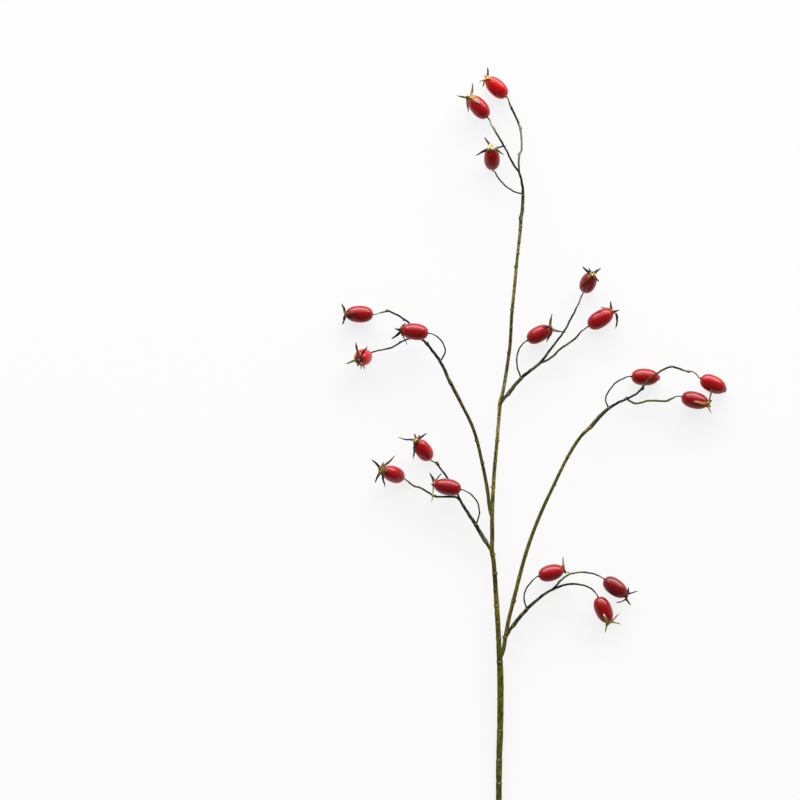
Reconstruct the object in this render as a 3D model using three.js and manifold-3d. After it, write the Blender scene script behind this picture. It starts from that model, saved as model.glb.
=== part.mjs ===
// A rose hip sprig, lying down: one long stem with two arms, and six sprays of three hips.
//
// Everything is in millimetres. The drawing starts at the stem's cut end: +Y runs up the
// stem, +X is to its right, and +Z is the height above the surface that it lies on. The
// last lines move the whole sprig so that the origin is under the middle of its box.

import * as THREE from 'three';
import { mergeVertices } from 'three/addons/utils/BufferGeometryUtils.js';
import Module from 'manifold-3d';

const wasm = await Module();
wasm.setup();

// ---------------------------------------------------------------- driving dimensions

const HIP_LENGTH = 22.8;
const HIP_WIDTH = 13.8;
const HIP_FULLNESS = 2.3; // 2 is a plain ellipsoid, more is fuller towards the ends
const HIP_TAPER = 0.04; // how much narrower the calyx end is than the stalk end
const HIP_SIDES = 10;
const HIP_STEPS = 8;

const GAP = 0.3; // between any two pieces that touch on the real sprig

const STEM_SIDES = 8;
const STALK_SIDES = 6;
const RINGS_PER_SPAN = 2;

const CALYX_RADIUS = 1.7;
const CALYX_HEIGHT = 1.5;
const CALYX_SIDES = 6;
const SEPAL_WIDTHS = [1.8, 1.8, 1.3, 0.5]; // from its base to its tip
const SEPAL_THICKNESS = 0.9;
const SEPAL_BEND = 0.7; // a sepal leaves the calyx at this share of its final spread
const SEPAL_REACH = 0.45; // and keeps that direction for this share of its length

const STEM_GREEN = 0x53532f;
const STALK_GREEN = 0x48463a;
const HIP_RED = 0xa01420;
const CALYX_GOLD = 0x8c7434;

// ---------------------------------------------------------------- the woody parts

// Each row of a route is x, y, height of the centre line, and radius there.

const mainStem = [
  [0, 0, 2, 2],
  [-0.2, 50, 2.8, 2],
  [0, 82, 3.6, 2.2],
  [0.8, 107, 4.2, 2.2],
  [1, 130, 4.8, 2.2],
  [0.8, 154, 5.6, 2.2],
  [0.2, 165, 6, 1.9],
  [-0.5, 180, 6.5, 1.7],
  [-2.3, 210, 7.5, 1.8],
  [-2.9, 219, 8, 1.7],
  [-4.8, 243, 8.9, 1.7],
  [-6, 250, 9.2, 1.7],
  [-5.7, 258, 9.5, 1.5],
  [-5.7, 280, 10.4, 1.6],
  [-4.8, 301, 11, 1.5],
  [-4, 314, 11.4, 1.5],
  [-1.9, 338, 12, 1.5],
  [-0.4, 356, 12.4, 1.5],
  [0.6, 368, 12.7, 1.8],
  [2.6, 376, 13, 1.5],
  [5.7, 394, 13.3, 1.5],
  [8.3, 413, 13.6, 1.4],
  [9.8, 438, 14, 1.3],
  [12.3, 464, 14, 1.3],
  [14.5, 487, 13.8, 1.2],
  [16.6, 506, 13.4, 1.3],
  [17, 516, 13, 1.6],
];

const rightArm = [
  [0.4, 163, 6, 1.6],
  [3.4, 171, 6.8, 1.6],
  [4.9, 181, 7.6, 1.7],
  [7.1, 193, 8.4, 1.5],
  [11, 209, 9.5, 1.6],
  [20.8, 247, 12, 1.5],
  [30.6, 274.5, 13.5, 1.4],
  [43.5, 303, 15, 1.3],
  [54.4, 325, 15.5, 1.2],
  [64.6, 341, 15.5, 1.2],
  [73.2, 349.3, 15.5, 1.4],
];

const leftArm = [
  [-5.8, 276, 10.2, 1.4],
  [-7.6, 283, 10.6, 1.4],
  [-9.8, 300, 11.5, 1.4],
  [-13.8, 320, 12.5, 1.3],
  [-18, 338, 13.3, 1.3],
  [-22, 350, 13.8, 1.3],
  [-30.4, 367, 14, 1.3],
  [-39.7, 385, 14, 1.5],
];

// A spray is a stalk that ends in its first hip, and two side pedicels, each with a hip.
// A hip is x and y of its middle, the compass heading and the upward pitch of its axis
// from stalk to calyx in degrees, its height above the surface, its size, and its five
// sepals: the angle round the axis (0 is the left side, 90 the top, 180 the right), the
// spread away from the axis, and the length. A hip's stand is how much further out than
// usual its sepals start, on a longer cup. A stem's route leaves out its last point,
// because it ends at its hip.

const sprays = [
  {
    name: 'top',
    grows: 'main_stem',
    stalk: [
      [17, 516.6, 13, 1.5],
      [18.2, 522, 13, 1.4],
      [18.6, 534, 12.6, 1.2],
      [18.2, 541, 12.4, 1],
      [15.8, 550.5, 13, 0.9],
      [10, 559, 16.5, 0.8],
      [5.6, 567.5, 20.8, 0.7],
      [1.5, 574.5, 22.6, 0.8],
      [-5.1, 586, 18.5, 0.8],
    ],
    pedicels: [
      [
        [15.8, 550.5, 13, 0.7],
        [15.4, 563, 13.5, 0.8],
        [17.4, 569, 13.5, 0.8],
        [17.4, 575, 13, 0.8],
        [16.6, 586, 11.5, 0.9],
        [9.6, 603.5, 8, 0.8],
        [7.6, 608.5, 6.5, 0.6],
      ],
      [
        [18.6, 534, 12.6, 0.6],
        [11, 536.5, 10.5, 0.6],
        [3.6, 542, 7.5, 0.6],
        [-0.8, 547.5, 5, 0.6],
        [-3.5, 552.5, 3.4, 0.6],
      ],
    ],
    hips: [
      {
        at: [-16.5, 603.5], heading: 130, pitch: -2, lift: 3, size: 0.965,
        sepals: [[188, 54, 10], [17, 50, 9.5], [346, 136, 12], [103, 149, 12.5], [270, 85, 6]],
      },
      {
        at: [-2.2, 619.4], heading: 137, pitch: 8, lift: 0.1, size: 0.955,
        sepals: [[195, 56, 8], [19, 73, 6.5], [335, 119, 8.5], [105, 125, 6], [265, 80, 6]],
      },
      {
        at: [-5.9, 562.6], heading: 94, pitch: 40, lift: 1.2, size: 0.925,
        sepals: [[292, 83, 12], [21, 107, 14], [178, 94, 11], [145, 109, 12], [70, 60, 5]],
      },
    ],
  },
  {
    name: 'upper_right',
    grows: 'main_stem',
    stalk: [
      [1.2, 367.5, 12.7, 1.1],
      [5.4, 373.2, 12.6, 1.2],
      [6.4, 374.4, 12.6, 1.7],
      [17.4, 387.4, 12, 1.4],
      [25.6, 394.2, 11.5, 1.2],
      [32, 399.4, 11, 1.1],
      [41.8, 411.6, 10, 0.9],
      [51.7, 425, 8.5, 0.8],
      [57.6, 435.5, 7, 0.8],
      [63.2, 446.5, 5, 0.7],
      [66.6, 454.5, 3.3, 0.6],
    ],
    pedicels: [
      [
        [32, 399.4, 11, 0.9],
        [40, 402.8, 11.5, 0.8],
        [48, 410, 11.2, 0.8],
        [61.2, 419.8, 9.2, 0.8],
        [65.4, 424.6, 8, 0.6],
      ],
      [
        [17.2, 387.2, 12, 0.7],
        [14, 398, 11.5, 0.6],
        [14.2, 406, 10.5, 0.6],
        [16.8, 412.4, 9.4, 0.6],
      ],
    ],
    hips: [
      {
        at: [70.9, 463.6], heading: 68, pitch: 51, lift: 1.2, size: 0.945,
        sepals: [[349, 84, 9], [322, 81, 5], [237, 79, 8.5], [148, 99, 8], [65, 141, 15.5]],
      },
      {
        at: [80.7, 434.8], heading: 32, pitch: 2, lift: 0, size: 1,
        sepals: [[10, 73, 7.5], [110, 50, 7], [178, 117, 14], [333, 134, 11], [255, 85, 5]],
      },
      {
        at: [31.6, 422.6], heading: 29, pitch: 4, lift: 1, size: 0.935,
        sepals: [[17, 57, 10.5], [191, 49, 10], [166, 139, 12.5], [65, 129, 10.5], [268, 85, 6]],
      },
    ],
  },
  {
    name: 'right_arm',
    grows: 'right_arm',
    stalk: [
      [73.6, 349.7, 15.5, 1.3],
      [80.6, 357.8, 15, 1.2],
      [86.8, 363.4, 14.8, 1.1],
      [93.9, 367.6, 15, 1],
      [100.8, 370.8, 15.6, 0.9],
      [108.4, 374.8, 17.4, 0.8],
      [113.2, 379.6, 18.6, 0.8],
      [118, 386, 19, 0.8],
      [125.6, 391.6, 18.6, 0.8],
      [135.2, 396.2, 17.2, 0.8],
      [139.4, 396, 16.4, 0.8],
      [148.6, 393, 14, 0.8],
      [152.4, 393.2, 12.8, 0.6],
      [157.2, 392.4, 11, 0.6],
    ],
    pedicels: [
      [
        [100.8, 370.8, 15.6, 0.8],
        [108.6, 367.2, 15, 0.8],
        [118, 369.4, 13, 0.8],
        [132.4, 369.2, 9.2, 0.8],
        [136, 370.4, 8, 0.8],
        [140.8, 372.6, 6, 0.6],
      ],
      [
        [86.8, 363.4, 14.8, 0.7],
        [84.6, 370, 14, 0.6],
        [86.4, 376, 13, 0.6],
        [92.4, 383.4, 11.4, 0.6],
        [99.2, 387.4, 10, 0.6],
      ],
    ],
    hips: [
      {
        at: [170.6, 382.5], heading: -25, pitch: -9, lift: 0, size: 0.995,
        sepals: [[200, 118, 6], [235, 100, 4], [270, 80, 3.5], [305, 100, 4], [340, 118, 6]],
      },
      {
        at: [156, 369.7], heading: -15, pitch: 14, lift: 0.5, size: 0.985,
        sepals: [[99, 148, 13.5], [28, 93, 12.5], [189, 61, 7], [250, 80, 5], [310, 85, 5]],
      },
      {
        at: [116.3, 388.3], heading: -2, pitch: -6, lift: 0, size: 0.99,
        sepals: [[205, 125, 5], [240, 100, 4], [270, 80, 3.5], [300, 100, 4], [335, 125, 5]],
      },
    ],
  },
  {
    name: 'lower_right',
    grows: 'right_arm',
    stalk: [
      [5, 180.5, 7.6, 1.2],
      [9.4, 188, 8.6, 1.3],
      [10.8, 190, 8.8, 1.7],
      [22.2, 203.6, 9.5, 1.4],
      [29.6, 210, 10, 1.2],
      [37.6, 216.4, 10.5, 1],
      [49.8, 222, 11, 0.9],
      [58.4, 223.6, 11, 0.8],
      [67.4, 222.2, 10.4, 0.7],
      [72.2, 220.4, 9.8, 0.7],
      [75.8, 217.2, 8.8, 0.6],
    ],
    pedicels: [
      [
        [37.6, 216.4, 10.5, 0.8],
        [43, 220, 11.5, 0.8],
        [48, 225.4, 13, 0.8],
        [53.8, 230.4, 13.4, 0.8],
        [58.6, 232.2, 13.2, 0.7],
        [67, 232.8, 12, 0.7],
        [75.6, 231.4, 9.8, 0.6],
      ],
      [
        [21.8, 203.2, 9.5, 0.7],
        [19.6, 213, 10.5, 0.6],
        [21.6, 220, 11.5, 0.6],
        [26, 225.8, 12.6, 0.6],
      ],
    ],
    hips: [
      {
        at: [83.3, 202.5], heading: -66.5, pitch: 2, lift: 0, size: 0.985,
        sepals: [[102, 146, 11.5], [8, 116, 11], [346, 62, 9], [183, 45, 7], [262, 80, 5]],
      },
      {
        at: [92.6, 220.4], heading: -36.5, pitch: 5, lift: 0, size: 0.975,
        sepals: [[21, 122, 7.5], [351, 61, 9], [205, 31, 7], [167, 118, 10.5], [268, 85, 5]],
      },
      {
        at: [41.3, 232.3], heading: 15, pitch: -14, lift: 2, size: 0.95,
        sepals: [[8, 84, 9], [202, 41, 5.5], [250, 60, 5], [320, 100, 5], [165, 100, 5]],
      },
    ],
  },
  {
    name: 'lower_left',
    grows: 'main_stem',
    stalk: [
      [-5.9, 248.5, 9.2, 1.2],
      [-9.2, 254.2, 9, 1.3],
      [-10.4, 256.2, 8.8, 1.8],
      [-19.2, 271, 8, 1.5],
      [-28.8, 285.6, 6.4, 1.1],
      [-32.4, 291.4, 5.6, 1],
      [-36.4, 292.8, 5.2, 0.9],
      [-51.6, 293, 4.6, 0.8],
      [-57, 296.4, 4.4, 0.8],
      [-63.4, 300, 4, 0.8],
      [-68.4, 301.6, 3.6, 0.7],
    ],
    pedicels: [
      [
        [-28.8, 285.6, 6.4, 0.8],
        [-33.2, 294.6, 5, 0.8],
        [-41.2, 307.6, 4, 0.8],
        [-45.4, 313.4, 3.6, 0.8],
        [-50.4, 319.4, 3, 0.7],
      ],
      [
        [-18.6, 270.4, 8, 0.7],
        [-16.4, 277, 9.5, 0.6],
        [-16, 283, 11, 0.6],
        [-18.4, 289.8, 12.4, 0.6],
        [-23.8, 295.8, 13.2, 0.6],
      ],
    ],
    hips: [
      {
        at: [-84.5, 310.9], heading: 157, pitch: 42, lift: 0.2, size: 0.96, stand: 3,
        sepals: [[249, 75, 11.5], [184, 89, 5.5], [153, 97, 15.5], [358, 93, 11.5], [41, 103, 15]],
      },
      {
        at: [-60.7, 330.1], heading: 126, pitch: 33, lift: 0.2, size: 0.95, stand: 1,
        sepals: [[309, 83, 15], [193, 82, 5], [159, 86, 10.5], [45, 113, 16.5], [250, 70, 5]],
      },
      {
        at: [-41.2, 300.8], heading: 169, pitch: 0, lift: 6.5, size: 0.965,
        sepals: [[193, 61, 9], [162, 118, 11.5], [13, 97, 14], [85, 77, 5.5], [272, 75, 5]],
      },
    ],
  },
  {
    name: 'left_arm',
    grows: 'left_arm',
    stalk: [
      [-40, 385.6, 14, 1.4],
      [-47.6, 401.2, 12.6, 1.2],
      [-58.8, 415.8, 9.6, 1],
      [-64.4, 420.4, 8.6, 0.9],
      [-69.6, 429, 8.4, 0.8],
      [-76, 434.4, 8.6, 0.8],
      [-82, 438, 8.4, 0.8],
      [-89, 440.8, 8, 0.7],
      [-95, 439.6, 7.4, 0.6],
    ],
    pedicels: [
      [
        [-64.4, 420.4, 8.6, 0.7],
        [-73.2, 418.6, 7.4, 0.7],
        [-79, 415.8, 6.6, 0.7],
        [-86.4, 411.8, 5, 0.7],
        [-97.4, 409.4, 3, 0.6],
        [-102, 407.8, 2.2, 0.6],
      ],
      [
        [-47.2, 400.6, 12.6, 0.7],
        [-43.4, 408, 15, 0.6],
        [-44.6, 414.6, 16.6, 0.6],
        [-49.8, 420.4, 17.4, 0.6],
      ],
    ],
    hips: [
      {
        at: [-111.6, 438.5], heading: 179, pitch: 0, lift: 0, size: 0.985,
        sepals: [[192, 75, 8], [90, 147, 14], [60, 138, 9], [350, 82, 8.5], [242, 84, 6]],
      },
      {
        at: [-108.8, 403.8], heading: 208, pitch: 72, lift: 1.2, size: 0.98,
        sepals: [[161, 92, 13.5], [116, 94, 12.5], [259, 91, 11], [325, 88, 5], [4, 99, 8.5]],
      },
      {
        at: [-67.4, 424.4], heading: 173, pitch: 0, lift: 10.5, size: 0.965,
        sepals: [[342, 53, 10], [25, 125, 14], [92, 42, 6], [170, 128, 7], [262, 85, 7]],
      },
    ],
  },
];

// ---------------------------------------------------------------- geometry helpers

const UP = new THREE.Vector3(0, 0, 1);
const LATHE_AXIS = new THREE.Vector3(0, 1, 0);

function indexedGeometry(positions, triangles) {
  const geometry = new THREE.BufferGeometry();
  geometry.setAttribute('position', new THREE.Float32BufferAttribute(positions, 3));
  geometry.setIndex(triangles);
  return geometry;
}

// A closed tube of changing section along rings of { centre, along, halfWidth, halfHeight }.
// The first corner of each ring lies at the start angle.
function loft(rings, sides, startAngle = 0) {
  const positions = [];
  for (const ring of rings) {
    const side = new THREE.Vector3().crossVectors(ring.flat, ring.along).normalize();
    const rise = new THREE.Vector3().crossVectors(ring.along, side);
    for (let k = 0; k < sides; k++) {
      const angle = startAngle + (2 * Math.PI * k) / sides;
      const point = ring.centre.clone();
      point.addScaledVector(side, ring.halfWidth * Math.cos(angle));
      point.addScaledVector(rise, ring.halfHeight * Math.sin(angle));
      positions.push(point.x, point.y, point.z);
    }
  }
  const first = rings[0].centre;
  const last = rings[rings.length - 1].centre;
  positions.push(first.x, first.y, first.z, last.x, last.y, last.z);

  const triangles = [];
  const startCentre = rings.length * sides;
  const endCentre = startCentre + 1;
  const lastRing = (rings.length - 1) * sides;
  for (let k = 0; k < sides; k++) {
    const next = (k + 1) % sides;
    for (let ring = 0; ring < rings.length - 1; ring++) {
      const here = ring * sides;
      const there = here + sides;
      triangles.push(here + k, here + next, there + next);
      triangles.push(here + k, there + next, there + k);
    }
    triangles.push(startCentre, next, k);
    triangles.push(endCentre, lastRing + k, lastRing + next);
  }
  return indexedGeometry(positions, triangles);
}

// A round stem that follows a route of [x, y, z, radius] rows, made thicker by grow.
function stemTube(route, sides, grow = 0) {
  const points = route.map(([x, y, z]) => new THREE.Vector3(x, y, z));
  const curve = new THREE.CatmullRomCurve3(points, false, 'centripetal');
  const spans = route.length - 1;
  const count = spans * RINGS_PER_SPAN;
  const rings = [];
  for (let i = 0; i <= count; i++) {
    const t = i / count;
    const span = Math.min(Math.floor(t * spans), spans - 1);
    const radius = THREE.MathUtils.lerp(route[span][3], route[span + 1][3], t * spans - span);
    rings.push({
      centre: curve.getPoint(t),
      along: curve.getTangent(t),
      flat: UP,
      halfWidth: radius + grow,
      halfHeight: radius + grow,
    });
  }
  return loft(rings, sides);
}

function toSolid(geometry) {
  const bare = geometry.clone();
  bare.deleteAttribute('normal');
  bare.deleteAttribute('uv');
  const merged = mergeVertices(bare, 1e-4);
  return new wasm.Manifold(new wasm.Mesh({
    numProp: 3,
    vertProperties: new Float32Array(merged.attributes.position.array),
    triVerts: new Uint32Array(merged.index.array),
  }));
}

function fromSolid(solid) {
  const mesh = solid.getMesh();
  const geometry = new THREE.BufferGeometry();
  geometry.setAttribute('position', new THREE.BufferAttribute(mesh.vertProperties, 3));
  geometry.setIndex(new THREE.BufferAttribute(mesh.triVerts, 1));
  geometry.computeVertexNormals();
  return geometry;
}

// What is left of a piece after its neighbours, already grown by the gap, are cut away.
function cutAway(geometry, neighbours) {
  const solid = neighbours.reduce(
    (left, neighbour) => left.subtract(toSolid(neighbour)),
    toSolid(geometry),
  );
  return fromSolid(solid);
}

// ---------------------------------------------------------------- hips and calyxes

const radians = THREE.MathUtils.degToRad;

// The radius of a hip at a place along its axis, from -1 at the stalk to 1 at the calyx.
function hipRadius(place, width) {
  const round = Math.sqrt(Math.max(0, 1 - Math.abs(place) ** HIP_FULLNESS));
  return (width / 2) * round * (1 - HIP_TAPER * place);
}

// Where a hip's middle, ends and sideways directions are.
function hipFrame({ at, heading, pitch, lift, size, stand = 0 }) {
  const half = (HIP_LENGTH / 2) * size;
  const wide = (HIP_WIDTH / 2) * size;
  const turn = radians(heading);
  const rise = radians(pitch);
  const along = new THREE.Vector3(
    Math.cos(rise) * Math.cos(turn),
    Math.cos(rise) * Math.sin(turn),
    Math.sin(rise),
  );
  const left = new THREE.Vector3(-Math.sin(turn), Math.cos(turn), 0);
  const top = new THREE.Vector3().crossVectors(along, left);
  const height = lift + Math.hypot(half * Math.sin(rise), wide * Math.cos(rise));
  const middle = new THREE.Vector3(at[0], at[1], height);
  return {
    along,
    left,
    top,
    middle,
    half,
    width: wide * 2,
    base: middle.clone().addScaledVector(along, -half),
    tip: middle.clone().addScaledVector(along, half),
    stand,
  };
}

function hipGeometry(frame, grow = 0) {
  const half = frame.half + grow;
  const profile = [];
  for (let i = 0; i <= HIP_STEPS; i++) {
    const place = -Math.cos((Math.PI * i) / HIP_STEPS);
    const onAxis = i === 0 || i === HIP_STEPS;
    const radius = onAxis ? 0 : hipRadius(place, frame.width + 2 * grow);
    profile.push(new THREE.Vector2(radius, place * half));
  }
  const geometry = new THREE.LatheGeometry(profile, HIP_SIDES);
  geometry.applyQuaternion(new THREE.Quaternion().setFromUnitVectors(LATHE_AXIS, frame.along));
  geometry.translate(frame.middle.x, frame.middle.y, frame.middle.z);
  return geometry;
}

// A direction at a spread from the hip's axis, towards an angle round it.
function sepalDirection(frame, turn, spread) {
  return new THREE.Vector3()
    .addScaledVector(frame.along, Math.cos(radians(spread)))
    .addScaledVector(frame.left, Math.sin(radians(spread)) * Math.cos(radians(turn)))
    .addScaledVector(frame.top, Math.sin(radians(spread)) * Math.sin(radians(turn)));
}

function sepalGeometry(frame, [turn, spread, length]) {
  const outwards = sepalDirection(frame, turn, 90);
  const start = frame.tip.clone();
  start.addScaledVector(frame.along, GAP + frame.stand + CALYX_HEIGHT / 2);
  start.addScaledVector(outwards, CALYX_RADIUS * 0.4);
  const bend = start.clone();
  bend.addScaledVector(sepalDirection(frame, turn, spread * SEPAL_BEND), length * SEPAL_REACH);
  const end = start.clone();
  end.addScaledVector(sepalDirection(frame, turn, spread), length);
  const curve = new THREE.QuadraticBezierCurve3(start, bend, end);
  const steps = SEPAL_WIDTHS.length - 1;
  const rings = SEPAL_WIDTHS.map((width, i) => {
    const along = curve.getTangent(i / steps);
    const sideways = new THREE.Vector3().crossVectors(frame.along, outwards);
    return {
      centre: curve.getPoint(i / steps),
      along,
      flat: new THREE.Vector3().crossVectors(along, sideways),
      halfWidth: width / 2,
      halfHeight: (SEPAL_THICKNESS / 2) * (width / SEPAL_WIDTHS[0]),
    };
  });
  return loft(rings, 3, Math.PI / 2);
}

// The cup at the end of the hip, with its five sepals joined on.
function calyxGeometry(frame, sepals) {
  const profile = [
    new THREE.Vector2(0, 0),
    new THREE.Vector2(CALYX_RADIUS * 0.8, 0),
    new THREE.Vector2(CALYX_RADIUS, frame.stand + CALYX_HEIGHT * 0.6),
    new THREE.Vector2(CALYX_RADIUS * 0.6, frame.stand + CALYX_HEIGHT),
    new THREE.Vector2(0, frame.stand + CALYX_HEIGHT * 0.8),
  ];
  const cup = new THREE.LatheGeometry(profile, CALYX_SIDES);
  cup.applyQuaternion(new THREE.Quaternion().setFromUnitVectors(LATHE_AXIS, frame.along));
  const foot = frame.tip.clone().addScaledVector(frame.along, GAP);
  cup.translate(foot.x, foot.y, foot.z);
  const solid = sepals.reduce(
    (whole, sepal) => whole.add(toSolid(sepalGeometry(frame, sepal))),
    toSolid(cup),
  );
  return fromSolid(solid);
}

// ---------------------------------------------------------------- the sprig

const materials = {
  stem: new THREE.MeshStandardMaterial({ color: STEM_GREEN, roughness: 0.6, metalness: 0 }),
  stalk: new THREE.MeshStandardMaterial({ color: STALK_GREEN, roughness: 0.6, metalness: 0 }),
  hip: new THREE.MeshStandardMaterial({ color: HIP_RED, roughness: 0.3, metalness: 0 }),
  calyx: new THREE.MeshStandardMaterial({ color: CALYX_GOLD, roughness: 0.7, metalness: 0 }),
};

const group = new THREE.Group();

function addPiece(name, geometry, material) {
  const mesh = new THREE.Mesh(geometry, material);
  mesh.name = name;
  group.add(mesh);
}

const carriers = { main_stem: mainStem, right_arm: rightArm, left_arm: leftArm };
const grownStem = stemTube(mainStem, STEM_SIDES, GAP);
addPiece('main_stem', stemTube(mainStem, STEM_SIDES), materials.stem);
addPiece('right_arm', cutAway(stemTube(rightArm, STEM_SIDES), [grownStem]), materials.stem);
addPiece('left_arm', cutAway(stemTube(leftArm, STEM_SIDES), [grownStem]), materials.stem);

// A stem that ends at its hip: the last row of its route is the hip's stalk end.
function routeToHip(route, frame) {
  const tipRadius = route[route.length - 1][3];
  return [...route, [frame.base.x, frame.base.y, frame.base.z, tipRadius]];
}

for (const spray of sprays) {
  const frames = spray.hips.map(hipFrame);
  const routes = [spray.stalk, ...spray.pedicels].map((route, i) => routeToHip(route, frames[i]));
  const carrier = stemTube(carriers[spray.grows], STEM_SIDES, GAP);
  const grownStalk = stemTube(routes[0], STALK_SIDES, GAP);
  routes.forEach((route, i) => {
    const neighbours = [i === 0 ? carrier : grownStalk, hipGeometry(frames[i], GAP)];
    const name = i === 0 ? `${spray.name}_spray_stalk` : `${spray.name}_pedicel_${i + 1}`;
    addPiece(name, cutAway(stemTube(route, STALK_SIDES), neighbours), materials.stalk);
  });
  frames.forEach((frame, i) => {
    const { sepals } = spray.hips[i];
    addPiece(`${spray.name}_hip_${i + 1}`, hipGeometry(frame), materials.hip);
    addPiece(`${spray.name}_calyx_${i + 1}`, calyxGeometry(frame, sepals), materials.calyx);
  });
}

const box = new THREE.Box3().setFromObject(group);
const middle = box.getCenter(new THREE.Vector3());
group.position.set(-middle.x, -middle.y, -box.min.z);

export default group;
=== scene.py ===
"""A rose hip sprig that lies on a white surface, with its looks built around the CAD model.

Lengths are millimetres in the sprig's own drawing: +Y runs up the stem from its cut end, +X is
to the stem's right and +Z is the height above the surface. to_frame() turns a point of the
drawing into metres in the frame of the CAD model.

Every piece is a set of closed shells, and every shell is a skin over rings of points. Besides
its place, a point carries values such as "tint" or "groove", which the materials read.
"""

import math

import bpy
import numpy as np
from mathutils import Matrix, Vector, noise


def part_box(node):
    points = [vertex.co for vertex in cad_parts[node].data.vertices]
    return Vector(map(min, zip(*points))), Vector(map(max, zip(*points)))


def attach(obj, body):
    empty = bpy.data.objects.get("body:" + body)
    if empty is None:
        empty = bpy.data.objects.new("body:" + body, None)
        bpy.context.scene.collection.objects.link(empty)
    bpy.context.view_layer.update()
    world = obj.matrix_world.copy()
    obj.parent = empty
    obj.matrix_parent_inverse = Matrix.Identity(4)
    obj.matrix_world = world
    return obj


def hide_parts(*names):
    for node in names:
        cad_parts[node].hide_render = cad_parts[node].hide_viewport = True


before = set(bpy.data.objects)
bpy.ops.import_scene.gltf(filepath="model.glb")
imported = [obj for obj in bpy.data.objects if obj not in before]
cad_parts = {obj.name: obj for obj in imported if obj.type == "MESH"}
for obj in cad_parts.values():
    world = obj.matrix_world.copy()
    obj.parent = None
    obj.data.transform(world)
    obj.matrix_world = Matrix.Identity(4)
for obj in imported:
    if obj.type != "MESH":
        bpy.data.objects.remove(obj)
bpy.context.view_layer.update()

MM = 0.001

# ---- the sprig, as in the CAD model

HIP_LENGTH = 22.8
HIP_WIDTH = 13.8
HIP_FULLNESS = 2.3  # 2 is a plain ellipsoid, more is fuller towards the ends
HIP_TAPER = 0.04  # how much narrower the calyx end is than the stalk end
CALYX_RISE = 1.05  # how far past the hip's end its sepals start
SEPAL_ROOT = 0.68  # and how far from its axis

# Each row of a route is x, y, height of the centre line, and radius there. A spray's stalk runs
# to its first hip, and its pedicels to the second and third.

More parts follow.
